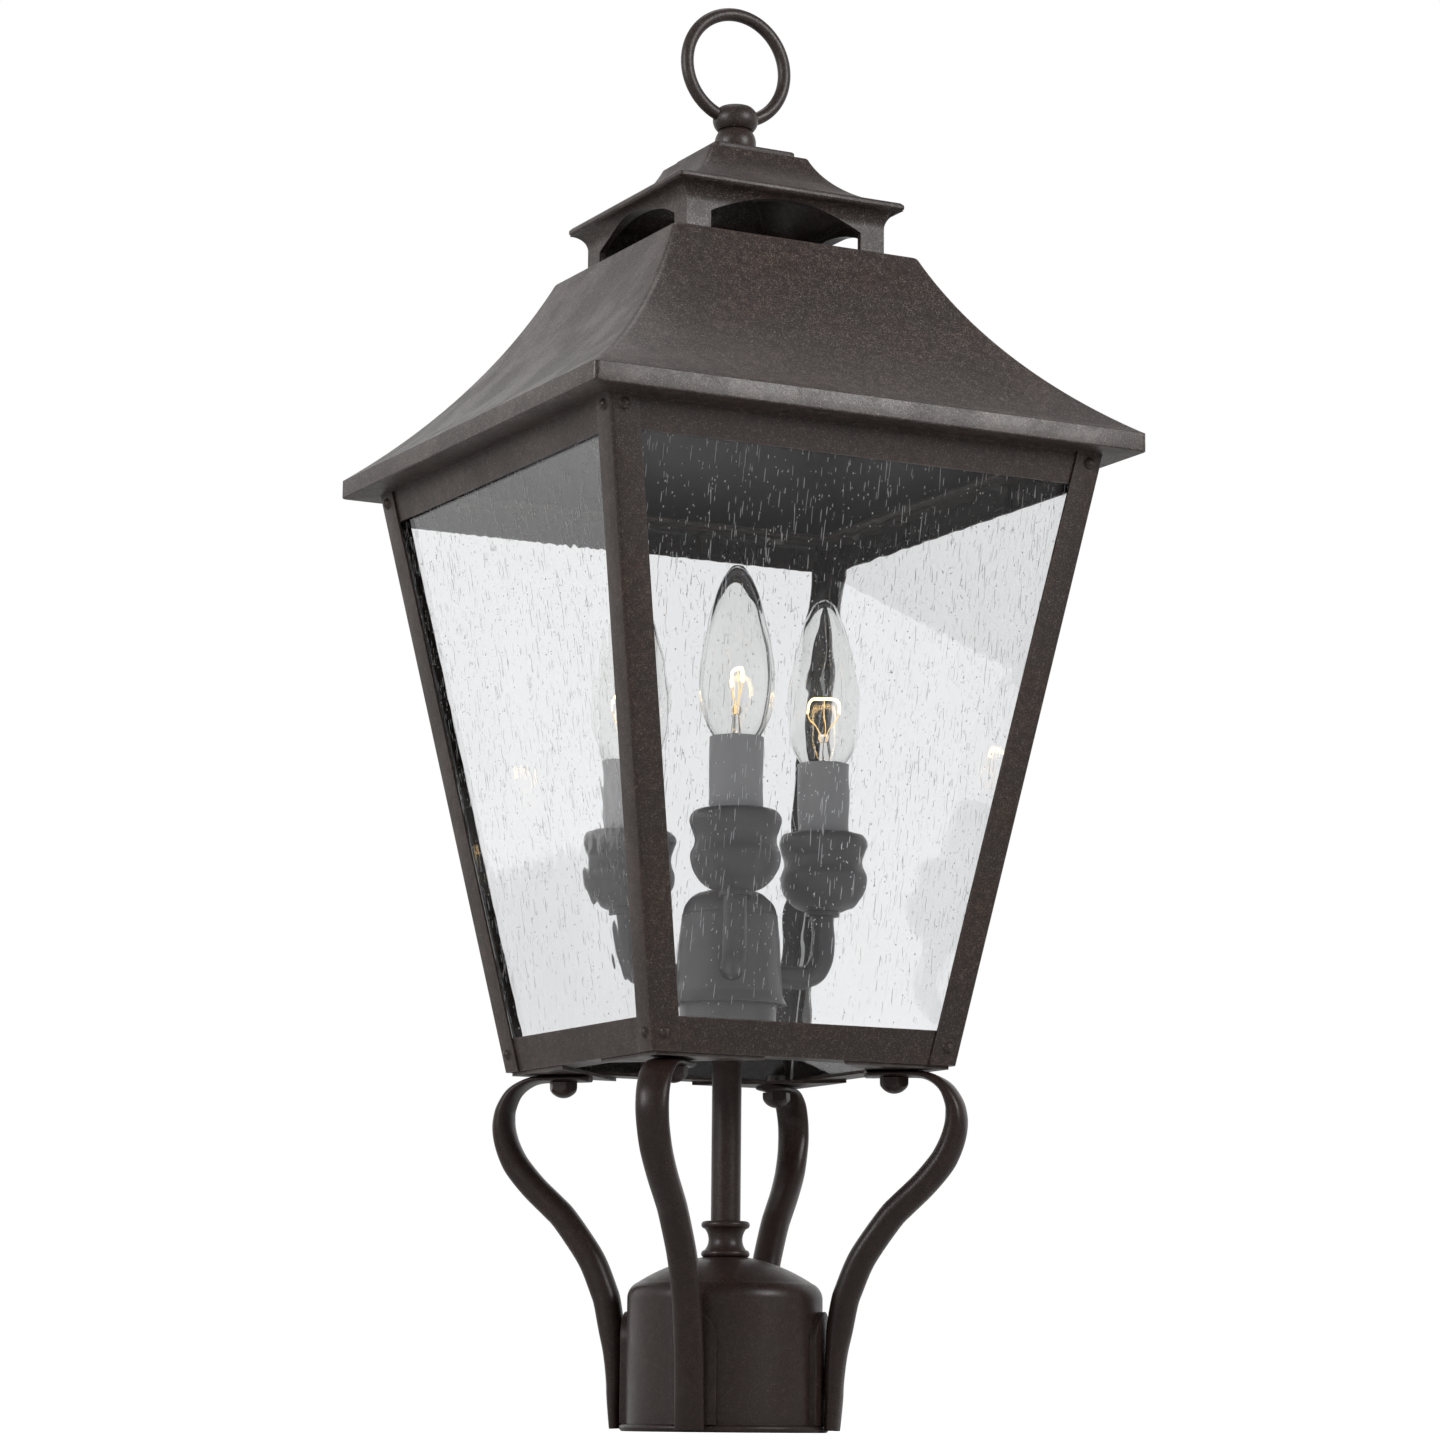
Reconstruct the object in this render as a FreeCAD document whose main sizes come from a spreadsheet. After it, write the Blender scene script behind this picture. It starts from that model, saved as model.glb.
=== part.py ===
"""Post top lantern: tapered glazed cage on four scroll arms over a post fitter.

Millimetres, +Z up. The origin is the centre of the post fitter's mouth, where the post enters.
The wide front face looks along -Y. A half size is measured from the lantern's own axis.
"""
import FreeCAD
import Part
import Sketcher
import math
import os

from FreeCAD import Placement, Rotation, Vector

DIMENSIONS = [
    # post fitter
    ("fitter_outer_d", 84.0, "outside of the post fitter"),
    ("post_bore_d", 77.2, "inside of the post fitter, over a 3 inch post"),
    ("socket_depth", 57.0, "straight part of the fitter's bore"),
    ("fitter_side_top", 56.0, "where the fitter's side turns in"),
    ("shoulder_inset", 4.5, "how far the shoulder round goes in"),
    ("shoulder_rise", 7.2, "how far the shoulder round goes up"),
    ("shoulder_round", 7.5, "radius of the shoulder round"),
    ("dome_top", 74.0, "top of the fitter's dome"),
    ("dome_round", 75.0, "radius of the dome's profile"),
    ("dome_wall", 3.0, "wall of the dome"),
    ("rim_round", 1.6, "radius of the rolled rim at the fitter's mouth"),
    ("rim_sink", 0.2, "how far the rim's round sinks into the fitter's side"),
    ("dome_foot_inset", 1.0, "foot of the dome's inside, in from the shoulder"),
    ("set_screw_d", 6.0, "set screw shank"),
    ("set_screw_level", 15.0, "height of the set screws"),
    ("set_screw_travel", 4.0, "how far a set screw can be driven in"),
    ("set_screw_head_h", 4.0, "set screw head height"),
    ("set_screw_head_w", 10.0, "set screw head across the flats"),
    # stem, spool collar and hub
    ("stem_d", 12.8, "outside of the centre stem"),
    ("nipple_d", 10.0, "threaded ends of the stem"),
    ("stem_bore_d", 7.0, "wire way through the stem"),
    ("collar_height", 15.6, "spool collar, end to end"),
    ("collar_wall", 4.2, "stem to the rim of a collar flange"),
    ("collar_edge_round", 1.6, "half thickness of a collar flange"),
    ("collar_waist_round", 7.1, "radius of the collar's waist"),
    ("nut_width", 15.0, "stem nuts across the flats"),
    ("nut_height", 4.5, "stem nut height"),
    ("stem_below", 2.0, "stem below its lowest nut"),
    ("stem_above", 1.0, "stem above its top nut"),
    ("hub_base", 172.0, "underside of the hub's lower cover"),
    ("hub_cover_d", 41.8, "lower cover of the hub"),
    ("hub_lip_level", 183.0, "lip of the hub's bell"),
    ("hub_lip_d", 50.6, "lip of the bell"),
    ("hub_skirt_d", 46.8, "bell just above its lip"),
    ("hub_shoulder_d", 42.0, "bell under its dome"),
    ("hub_shoulder_level", 222.0, "where the bell's dome starts"),
    ("hub_top", 233.0, "top of the bell"),
    ("hub_wall", 1.6, "wall of the bell and its lower cover"),
    ("hub_lip_rise", 5.0, "height over which the bell's lip draws in"),
    ("hub_edge", 0.5, "soft edge where the bell's dome starts"),
    ("hub_dome_sag", 3.2, "how far the bell's dome bulges"),
    ("hub_flat", 2.0, "flat ring round the nipple on the bell"),
    ("hub_cover_edge", 2.0, "slope round the lower cover"),
    ("core_d", 20.0, "cluster body that the light arms screw into"),
    ("core_height", 18.0, "cluster body height"),
    # three lights
    ("light_reach", 49.0, "stem axis to a candle's axis"),
    ("light_turn", 5.0, "degrees from +X to the first light"),
    ("arm_level", 197.0, "height of the light arms at the hub"),
    ("arm_tube_d", 10.2, "light arm tube"),
    ("arm_tube_wall", 1.2, "light arm tube wall"),
    ("arm_bend", 13.0, "centre line radius of a light arm's bend"),
    ("cup_base", 225.0, "underside of a candle cup"),
    ("cup_height", 36.6, "candle cup, bottom to rim"),
    ("cup_floor", 11.0, "cup bottom to the floor its sleeve stands on"),
    ("cup_belly_d", 38.8, "candle cup at its belly"),
    ("cup_rim_d", 39.2, "candle cup at its rim"),
    ("cup_neck_d", 35.4, "candle cup at its neck"),
    ("cup_ring_d", 14.4, "ring under a candle cup"),
    ("cup_ring_height", 2.2, "height of the ring under a candle cup"),
    ("cup_bowl_step", 1.2, "ring to the foot of the bowl"),
    ("cup_bowl_round", 15.5, "radius of the bowl"),
    ("cup_belly_level", 16.2, "cup bottom to its belly"),
    ("cup_belly_round", 5.5, "radius of the belly"),
    ("cup_belly_inset", 0.7, "top of the belly, in from its widest"),
    ("cup_belly_top", 19.4, "cup bottom to the top of its belly"),
    ("cup_neck_start", 20.4, "cup bottom to the foot of its neck"),
    ("cup_neck_end", 27.4, "cup bottom to the top of its neck"),
    ("cup_neck_round", 7.5, "radius of the neck"),
    ("cup_neck_flare", 0.5, "ends of the neck, out from its narrowest"),
    ("cup_rim_level", 31.4, "cup bottom to its rim's widest"),
    ("cup_rim_round", 4.6, "radius of the rim"),
    ("cup_rim_inset", 3.2, "top of the rim, in from its widest"),
    ("sleeve_d", 23.0, "candle sleeve"),
    ("sleeve_wall", 1.2, "candle sleeve wall"),
    ("sleeve_height", 57.0, "candle sleeve, cup floor to top edge"),
    ("holder_height", 50.0, "lamp holder, cup floor to top"),
    ("holder_bore_depth", 27.0, "lamp holder's screw socket depth"),
    ("holder_gap", 0.4, "sleeve to lamp holder"),
    ("holder_seat", 6.0, "lamp holder's socket for the light arm"),
    ("arm_end", 5.0, "light arm's end above the cup floor"),
    ("cap_d", 11.7, "lamp's screw cap"),
    ("cap_height", 25.5, "lamp's screw cap, without its contact"),
    ("cap_slope", 1.5, "slope at the screw cap's lower end"),
    ("cap_contact_d", 4.9, "contact button"),
    ("cap_contact_h", 2.5, "contact button under the screw cap"),
    ("socket_gap", 0.5, "screw cap to socket wall"),
    ("bulb_d", 32.4, "lamp glass at its widest"),
    ("bulb_belly", 31.0, "cap to the widest place of the glass"),
    ("bulb_shoulder", 46.3, "widest place to the root of the tip"),
    ("bulb_tip_d", 10.0, "glass at the root of its tip"),
    ("bulb_tip_h", 3.5, "rounded tip of the glass"),
    ("bulb_wall", 0.8, "lamp glass wall"),
    ("bulb_neck_step", 0.3, "glass neck past the screw cap"),
    ("filament_width", 13.0, "filament, wire to wire"),
    ("filament_rise", 35.0, "cap to filament"),
    ("filament_d", 1.0, "coiled filament"),
    ("filament_hook_d", 1.3, "hook that holds an end of the filament"),
    ("lead_d", 0.8, "lead wire"),
    ("lead_apart", 1.0, "lead wire to the mount's middle"),
    ("lead_sink", 1.5, "lead wire's foot inside the mount"),
    ("mount_d", 4.0, "glass mount inside the lamp"),
    ("mount_height", 17.5, "glass mount inside the lamp"),
    # cage
    ("cage_base", 155.0, "underside of the cage"),
    ("cage_height", 262.9, "cage, base to eave"),
    ("cage_base_half", 72.5, "half side of the cage at its base"),
    ("cage_top_half", 118.8, "half side of the cage under the eave"),
    ("sheet", 1.2, "sheet of the posts, rails and clips"),
    ("post_leg", 13.3, "leg of a corner post"),
    ("base_rail", 14.5, "height of the lower rails"),
    ("top_rail", 13.8, "height of the upper rails"),
    ("flange", 1.5, "plate of the frames' inner flanges and gussets"),
    ("flange_width", 12.5, "how far a flange reaches in"),
    ("gusset_reach", 89.0, "gusset edge, measured along X plus along Y"),
    ("gusset_inset", 2.5, "gusset to the outside of the cage"),
    ("glass_thickness", 3.0, "glass pane"),
    ("glass_gap", 0.3, "glass pane to what is beside it"),
    ("glass_side_gap", 1.1, "glass edge to the pane round the corner"),
    ("rivet_shank_d", 3.2, "rivet shank"),
    ("rivet_head_d", 5.4, "rivet head"),
    ("rivet_head_h", 1.9, "rivet head height"),
    ("rivet_tail_h", 0.4, "rivet tail height"),
    ("rivet_edge", 6.4, "rivet to the edge of the cage"),
    ("rivet_up", 7.6, "lower rivets above the base"),
    ("rivet_down", 4.5, "upper rivets below the eave"),
    ("clip_width", 10.0, "glass clip"),
    ("clip_height", 10.0, "glass clip leg"),
    ("clip_place", 46.0, "glass clip to the middle of its side"),
    ("clip_sheet", 0.84, "spring sheet of the clips"),
    ("clip_foot", 5.0, "foot of a clip under the flange"),
    # scroll arms
    ("arm_bolt_reach", 75.0, "axis to an arm's bolt, along the diagonal"),
    ("arm_bulge", 102.4, "axis to the middle of the bar at its widest sweep"),
    ("arm_tab", 3.2, "flattened end of an arm"),
    ("arm_tab_end", 12.5, "bolt to the tip of the flattened end"),
    ("arm_bar_width", 12.8, "round part of an arm"),
    ("arm_foot_gap", 0.3, "arm to saddle plate"),
    ("arm_foot", 0.8, "height of an arm's lower end"),
    ("saddle", 3.0, "saddle plate thickness"),
    ("saddle_width", 20.0, "saddle plate"),
    ("saddle_top", 51.0, "top of the saddle plate"),
    ("saddle_crown", 15.0, "height of the saddle plate's pointed top"),
    ("bolt_d", 6.0, "arm bolt"),
    ("bolt_head_d", 11.0, "arm bolt head"),
    ("bolt_head_top_d", 7.9, "flat top of the arm bolt head"),
    ("bolt_head_h", 3.0, "arm bolt head height"),
    ("cap_nut_width", 11.0, "cap nut across the flats"),
    ("cap_nut_height", 6.8, "cap nut"),
    ("cap_nut_round", 6.8, "radius of the cap nut's domed end"),
    ("cap_nut_end", 2.5, "closed end of a cap nut"),
    ("bolt_end_gap", 0.5, "arm bolt to the closed end of its cap nut"),
    # roof
    ("eave_half", 132.3, "half side of the roof's eave"),
    ("eave_band", 8.5, "upright band round the eave"),
    ("eave_edge", 0.5, "width of the soft edge over the band"),
    ("eave_edge_drop", 0.3, "height of the soft edge over the band"),
    ("roof_height", 93.6, "eave to the roof's flat top"),
    ("roof_top_half", 60.2, "half side of the roof's flat top"),
    ("roof_sag", 7.3, "how far the roof's curve hangs in"),
    ("roof_sheet", 1.6, "roof sheet"),
    ("soffit_half", 100.0, "half side of the opening in the soffit"),
    ("roof_vent_d", 56.0, "vent in the roof's flat top"),
    ("screw_d", 3.5, "roof and cupola screws"),
    ("screw_head_d", 7.0, "roof and cupola screw heads"),
    ("screw_head_h", 2.2, "roof and cupola screw head height"),
    ("roof_screw_place", 80.0, "roof screw to the middle of its side"),
    ("roof_screw_length", 7.0, "roof screw, head included"),
    ("screw_side_gap", 0.5, "cupola screw head to the cupola's wall"),
    ("drill_length", 12.0, "drills for rivets, screws and arm bolts"),
    # cupola
    ("cupola_half", 49.0, "half side of the cupola"),
    ("cupola_wall", 2.8, "cupola wall"),
    ("cupola_height", 21.9, "cupola, roof to cap"),
    ("cupola_flare", 6.4, "cove under the cap, outwards"),
    ("cupola_cove", 8.1, "cove under the cap, upwards"),
    ("cupola_cove_sag", 1.9, "depth of the cove"),
    ("cupola_ledge", 9.0, "flange inside the cupola's foot"),
    ("cupola_screw_length", 5.2, "cupola screw under its head, with the flange"),
    ("vent_half", 37.2, "half width of a cupola vent"),
    ("vent_jamb", 11.0, "straight side of a vent"),
    ("vent_rise", 9.0, "rise of a vent's arch"),
    ("cap_half", 56.0, "half side of the cap's eave"),
    ("cap_edge", 3.4, "cap's eave thickness"),
    ("cap_edge_slope", 1.0, "soft edges of the cap's eave"),
    ("cap_rise", 27.5, "cap, underside to flat top"),
    ("cap_top_half", 24.3, "half side of the cap's flat top"),
    ("cap_sag", 5.0, "how far the cap's curve hangs in"),
    ("cap_wall", 2.2, "wall of the cap"),
    ("plinth_half", 20.0, "half side of the raised square on the cap"),
    ("plinth_height", 3.4, "raised square on the cap"),
    # finial
    ("bead_height", 12.2, "lower bead"),
    ("bead_end_d", 14.0, "ends of the lower bead"),
    ("bead_round", 9.2, "radius of the lower bead's side"),
    ("knuckle_height", 10.8, "knuckle that holds the ring"),
    ("knuckle_end_d", 16.2, "ends of the knuckle's barrel"),
    ("knuckle_side", 9.8, "height of the knuckle's barrel"),
    ("knuckle_round", 6.7, "radius of the knuckle's barrel"),
    ("knuckle_top_round", 2.6, "radius of the knuckle's shoulder"),
    ("knuckle_top_inset", 1.9, "knuckle's flat top, in from its barrel"),
    ("ring_d", 49.3, "finial ring, middle of its wire"),
    ("ring_wire_d", 5.8, "wire of the finial ring"),
    ("ring_sink", 5.9, "top of the knuckle to the ring wire's middle"),
    ("stud_d", 6.0, "stud under the knuckle"),
    ("stud_end", 3.0, "stud below its nut"),
    ("finial_nut_width", 10.2, "nut on the stud across the flats"),
    ("fit_gap", 0.15, "clearance all round a fixed round fit"),
]

# Stations of a scroll arm from its flattened tip to its foot. Each gives how far out the bar's
# middle is (0 at the foot, 1 at the widest sweep), its height (0 at the foot, 1 at the flattened
# end), and its width and thickness beside the round bar.
ARM_SWEEP = [
    (0.831, 0.985, 1.13, 0.25),
    (0.924, 0.961, 1.13, 0.32),
    (0.984, 0.917, 1.12, 0.43),
    (1.000, 0.884, 1.11, 0.52),
    (0.998, 0.854, 1.10, 0.575),
    (0.975, 0.817, 1.08, 0.61),
    (0.929, 0.777, 1.06, 0.64),
    (0.869, 0.742, 1.04, 0.655),
    (0.737, 0.687, 1.01, 0.65),
    (0.566, 0.630, 0.99, 0.68),
    (0.475, 0.597, 0.98, 0.69),
    (0.318, 0.520, 0.98, 0.675),
    (0.225, 0.466, 0.98, 0.665),
    (0.143, 0.395, 0.98, 0.65),
    (0.109, 0.358, 0.98, 0.64),
    (0.052, 0.280, 0.98, 0.60),
    (0.028, 0.213, 0.99, 0.56),
    (0.012, 0.087, 1.01, 0.43),
    (0.000, 0.000, 1.02, 0.336),
]

# Stations of the flattened end: distance from its tip, and share of the bar's width there.
TAB_SWEEP = [(0.0, 0.45), (1.6, 0.8), (4.5, 1.0), (15.5, 1.0)]

# A rounded edge's arc is drawn with a slightly larger radius than half its chord.
ROUND_SLACK = 1.004
SECTION_POINTS = 16
SECTION_POWER = 2.5
# The saddle's crown passes this share of its half width out, and this share of it below the top.
CROWN_OUT = 0.72
CROWN_DOWN = 0.45
# Shares of the sheet by which the roof's inner curve starts and ends inside the outer one.
ROOF_HEAD_IN = 0.6
ROOF_FOOT_DOWN = 0.8
# Radius of a screw head's small end, as a share of the head's diameter.
HEAD_SLOPE = 0.3
CORNERS = {"front_left": 225.0, "front_right": 315.0, "back_right": 45.0, "back_left": 135.0}
SIDES = {"front": 0.0, "right": 90.0, "back": 180.0, "left": 270.0}
Z_AXIS = Vector(0, 0, 1)

doc = FreeCAD.newDocument("PostTopLantern")
sheet = doc.addObject("Spreadsheet::Sheet", "Sizes")
parts = []


class Size:
    """A number together with the sheet formula that gives it."""

    def __init__(self, value, formula):
        self.value = value
        self.formula = formula

    def _with(self, other, sign, value):
        return Size(value, "(%s %s %s)" % (self.formula, sign, other.formula))

    def __add__(self, other):
        other = as_size(other)
        return self._with(other, "+", self.value + other.value)

    def __sub__(self, other):
        other = as_size(other)
        return self._with(other, "-", self.value - other.value)

    def __mul__(self, other):
        other = as_size(other)
        return self._with(other, "*", self.value * other.value)

    def __truediv__(self, other):
        other = as_size(other)
        return self._with(other, "/", self.value / other.value)

    def __radd__(self, other):
        return as_size(other) + self

    def __rsub__(self, other):
        return as_size(other) - self

    def __rmul__(self, other):
        return as_size(other) * self

    def __neg__(self):
        return as_size(0) - self

    def root(self):
        """The square root."""
        return Size(math.sqrt(self.value), "sqrt(%s)" % self.formula)


def as_size(number):
    """A Size as it is, or a plain number as a Size."""
    if isinstance(number, Size):
        return number
    return Size(float(number), "%.9g" % number)


def fill_sheet():
    """Write every driving dimension to the sheet and return them by alias."""
    sizes = {}
    for row, (alias, value, note) in enumerate(DIMENSIONS, start=1):
        sheet.set("A%d" % row, note)
        sheet.set("B%d" % row, str(value))
        sheet.setAlias("B%d" % row, alias)
        sizes[alias] = Size(value, "Sizes.%s" % alias)
    doc.recompute()
    return sizes


S = fill_sheet()


def bind(obj, prop, size):
    """Bind one property of an object to a Size."""
    obj.setExpression(prop, as_size(size).formula)


def node(obj, name):
    """Name an object as one separate piece of the lantern."""
    obj.Label = name
    parts.append(obj)
    return obj


def place(obj, x=0, y=0, z=0, turn=None):
    """Put an object at a bound place, turned by a fixed rotation."""
    obj.Placement = Placement(Vector(0, 0, 0), turn or Rotation())
    for axis, size in (("x", x), ("y", y), ("z", z)):
        bind(obj, "Placement.Base.%s" % axis, size)
    return obj


def sag_radius(start, end, sag):
    """Radius of the arc from start to end that stands sag away from its chord."""
    across = end[0] - start[0]
    along = end[1] - start[1]
    return ((across * across + along * along) / 4 + sag * sag) / (2 * sag)


def dome_radius(half, rise):
    """Radius of the dome that is half wide to each side and rises to its middle."""
    return (half * half + rise * rise) / (rise * 2)


def arc_between(start, end, radius, bulge):
    """Arc between two corners; bulge +1 stands out left of the way from start to end, -1 right.

    A sketch keeps its arcs anticlockwise, so an arc that bulges left is drawn from its end.
    """
    first = Vector(start[0].value, start[1].value, 0)
    last = Vector(end[0].value, end[1].value, 0)
    chord = last - first
    side = Vector(-chord.y, chord.x, 0).normalize() * bulge
    half = chord.Length / 2
    reach = math.sqrt(max(radius.value ** 2 - half ** 2, 0.0))
    through = (first + last) / 2 + side * (radius.value - reach)
    if bulge > 0:
        return Part.Arc(last, through, first), (2, 1)
    return Part.Arc(first, through, last), (1, 2)


def draw_outline(sketch, corners):
    """Draw a closed outline whose corners, and arc radii, are bound to the sheet.

    A corner is (x, y), or (x, y, radius, bulge) where an arc leads on to the next corner.
    """
    points = [(as_size(corner[0]), as_size(corner[1])) for corner in corners]
    count = len(points)
    ends = []
    for index, corner in enumerate(corners):
        start = points[index]
        end = points[(index + 1) % count]
        if len(corner) == 4:
            curve, order = arc_between(start, end, as_size(corner[2]), corner[3])
        else:
            first = Vector(start[0].value, start[1].value, 0)
            last = Vector(end[0].value, end[1].value, 0)
            curve, order = Part.LineSegment(first, last), (1, 2)
        sketch.addGeometry(curve, False)
        ends.append(order)
    for index, corner in enumerate(corners):
        following = (index + 1) % count
        sketch.addConstraint(Sketcher.Constraint("Coincident", index, ends[index][1], following,
                                                 ends[following][0]))
        bind_point(sketch, index, ends[index][0], points[index])
        if len(corner) == 4:
            radius = as_size(corner[2])
            added = sketch.addConstraint(Sketcher.Constraint("Radius", index, radius.value))
            sketch.setExpression("Constraints[%d]" % added, radius.formula)


def bind_point(sketch, index, end, point):
    """Hold one end of a line or arc at a bound place."""
    for kind, size in (("DistanceX", point[0]), ("DistanceY", point[1])):
        constraint = Sketcher.Constraint(kind, -1, 1, index, end, size.value)
        added = sketch.addConstraint(constraint)
        sketch.setExpression("Constraints[%d]" % added, size.formula)


def turned(name, corners):
    """A turned body: its outline of (radius, height) corners spun round Z."""
    body = doc.addObject("PartDesign::Body", name)
    sketch = body.newObject("Sketcher::SketchObject", name + "_outline")
    upright = [item for item in body.Origin.OriginFeatures if item.Role == "XZ_Plane"][0]
    sketch.AttachmentSupport = [(upright, "")]
    sketch.MapMode = "FlatFace"
    draw_outline(sketch, corners)
    spin = body.newObject("PartDesign::Revolution", name + "_turned")
    spin.Profile = sketch
    spin.ReferenceAxis = (sketch, ["V_Axis"])
    spin.Angle = 360.0
    return body


def mirrored(corners):
    """A half outline of (half size, height) corners, top first, closed by its mirror image."""
    right = [tuple(corner) for corner in corners]
    left = []
    for index in range(len(corners) - 1, -1, -1):
        half, level = corners[index][0], corners[index][1]
        before = corners[index - 1] if index > 0 else ()
        if len(before) == 4:
            left.append((-as_size(half), level, before[2], before[3]))
        else:
            left.append((-as_size(half), level))
    return right + left


def prism(name, corners, reach, turn):
    """An upright outline pushed both ways along its own normal, turned about Z."""
    sketch = doc.addObject("Sketcher::SketchObject", name + "_outline")
    sketch.Placement = Placement(Vector(0, 0, 0), Rotation(Z_AXIS, turn) * Rotation(Vector(1, 0, 0), 90))
    draw_outline(sketch, corners)
    push = doc.addObject("Part::Extrusion", name)
    push.Base = sketch
    push.DirMode = "Custom"
    push.Dir = Rotation(Z_AXIS, turn).multVec(Vector(0, -1, 0))
    push.Symmetric = True
    push.Solid = True
    bind(push, "LengthFwd", reach * 2)
    return push


def hipped(name, corners, reach):
    """A four-sided solid whose half size at each height follows one outline."""
    outline = mirrored(corners)
    both = doc.addObject("Part::MultiCommon", name)
    both.Shapes = [prism(name + "_x", outline, reach, 0), prism(name + "_y", outline, reach, 90)]
    return both


def cut(name, base, tool):
    """One object less another."""
    result = doc.addObject("Part::Cut", name)
    result.Base = base
    result.Tool = tool
    return result


def joined(name, pieces):
    """Several objects as one."""
    result = doc.addObject("Part::MultiFuse", name)
    result.Shapes = pieces
    result.Refine = True
    return result


def cylinder(name, diameter, height, x=0, y=0, z=0, turn=None):
    """A cylinder that stands on its own place, along its own turned axis."""
    drum = doc.addObject("Part::Cylinder", name)
    bind(drum, "Radius", as_size(diameter) / 2)
    bind(drum, "Height", height)
    return place(drum, x, y, z, turn)


def square_plate(name, half, bottom, height):
    """A flat square centred on the axis."""
    plate = doc.addObject("Part::Box", name)
    bind(plate, "Length", half * 2)
    bind(plate, "Width", half * 2)
    bind(plate, "Height", height)
    return place(plate, -half, -half, bottom)


def cage_half(level):
    """Half side of the cage's outer faces at a height."""
    lean = (S["cage_top_half"] - S["cage_base_half"]) / S["cage_height"]
    return S["cage_base_half"] + (level - S["cage_base"]) * lean


def leaning(name, bottom, top, inner, outer, left, right, turn):
    """A sheet that leans with the cage's side.

    It runs between two heights. inner and outer are its depths behind the cage's outer face, and
    left and right are functions of the cage's half size that give its edges at a height.
    """
    wedge = doc.addObject("Part::Wedge", name)
    for level, suffix, number in ((bottom, "min", ""), (top, "max", "2")):
        bind(wedge, "Y" + suffix, level)
        half = cage_half(level)
        bind(wedge, "X%smin" % number, left(half))
        bind(wedge, "X%smax" % number, right(half))
        bind(wedge, "Z%smin" % number, half - inner)
        bind(wedge, "Z%smax" % number, half - outer)
    wedge.Placement = Placement(Vector(0, 0, 0), Rotation(Z_AXIS, turn) * Rotation(Vector(1, 0, 0), 90))
    return wedge


def rail_ring(name, bottom, top):
    """Four leaning rails, one sheet behind the posts, as one folded ring."""
    strips = []
    for side, turn in SIDES.items():
        strip = leaning(name + "_" + side, bottom, top, S["sheet"] * 2, S["sheet"],
                        lambda half: S["sheet"] - half, lambda half: half - S["sheet"], turn)
        strips.append(strip)
    return strips


def flange_ring(name, bottom, level):
    """A flat ring that reaches in from the rails."""
    outer = cage_half(level) - S["sheet"]
    plate = square_plate(name + "_plate", outer, bottom, S["flange"])
    window = square_plate(name + "_window", outer - S["flange_width"], bottom, S["flange"])
    return cut(name, plate, window)


def solid_group(name, shapes):
    """Several like solids as one piece list entry."""
    group = doc.addObject("Part::Feature", name)
    group.Shape = Part.makeCompound(shapes)
    return group


def turned_copies(shape, turns):
    """The shape turned about the lantern's axis by each angle."""
    copies = []
    for turn in turns:
        copy = shape.copy()
        copy.rotate(Vector(0, 0, 0), Z_AXIS, turn)
        copies.append(copy)
    return copies


def hexagon(width, bottom, height):
    """A hexagonal prism on the axis, width across its flats."""
    reach = width / math.sqrt(3)
    angles = [math.radians(60 * index) for index in range(7)]
    outline = Part.makePolygon([Vector(reach * math.cos(a), reach * math.sin(a), bottom) for a in angles])
    return Part.Face(outline).extrude(Vector(0, 0, height))


def drum_shape(radius, bottom, height):
    """An upright cylinder on the axis."""
    return Part.makeCylinder(radius, height, Vector(0, 0, bottom))


fitter_r = S["fitter_outer_d"] / 2
bore_r = S["post_bore_d"] / 2
nipple_r = S["nipple_d"] / 2
nipple_hole_r = nipple_r + S["fit_gap"]
cage_top = S["cage_base"] + S["cage_height"]
eave_top = cage_top + S["eave_band"]
roof_top = cage_top + S["roof_height"]
cupola_top = roof_top + S["cupola_height"]
cap_top = cupola_top + S["cap_rise"]
plinth_top = cap_top + S["plinth_height"]
bead_top = plinth_top + S["bead_height"]
knuckle_top = bead_top + S["knuckle_height"]
cup_floor = S["cup_base"] + S["cup_floor"]
light_angles = [S["light_turn"].value + 120 * index for index in range(3)]


def make_fitter():
    """Domed socket that drops over the post, with a rolled rim and two set screw holes."""
    rim_middle = fitter_r + S["rim_round"] - S["rim_sink"]
    shoulder_r = fitter_r - S["shoulder_inset"]
    shoulder = S["fitter_side_top"] + S["shoulder_rise"]
    flat_r = S["stem_d"] / 2 + S["collar_wall"]
    shell = turned("fitter_shell", [
        (bore_r, 0),
        (rim_middle, 0, S["rim_round"] * ROUND_SLACK, -1),
        (rim_middle, S["rim_round"] * 2),
        (fitter_r, S["rim_round"] * 2),
        (fitter_r, S["fitter_side_top"], S["shoulder_round"], -1),
        (shoulder_r, shoulder, S["dome_round"], -1),
        (flat_r, S["dome_top"]),
        (nipple_hole_r, S["dome_top"]),
        (nipple_hole_r, S["dome_top"] - S["dome_wall"]),
        (flat_r, S["dome_top"] - S["dome_wall"], S["dome_round"] - S["dome_wall"], 1),
        (shoulder_r - S["dome_foot_inset"], shoulder - S["dome_wall"]),
        (bore_r, S["socket_depth"]),
    ])
    holes = []
    hole_d = S["set_screw_d"] + S["fit_gap"] * 2
    for name, turn in (("x", Rotation(Vector(0, 1, 0), 90)), ("y", Rotation(Vector(1, 0, 0), -90))):
        hole = cylinder("set_screw_hole_" + name, hole_d, S["fitter_outer_d"], 0, 0,
                        S["set_screw_level"], turn)
        holes.append(hole)
    node(cut("fitter", shell, joined("set_screw_holes", holes)), "post_fitter")


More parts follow.
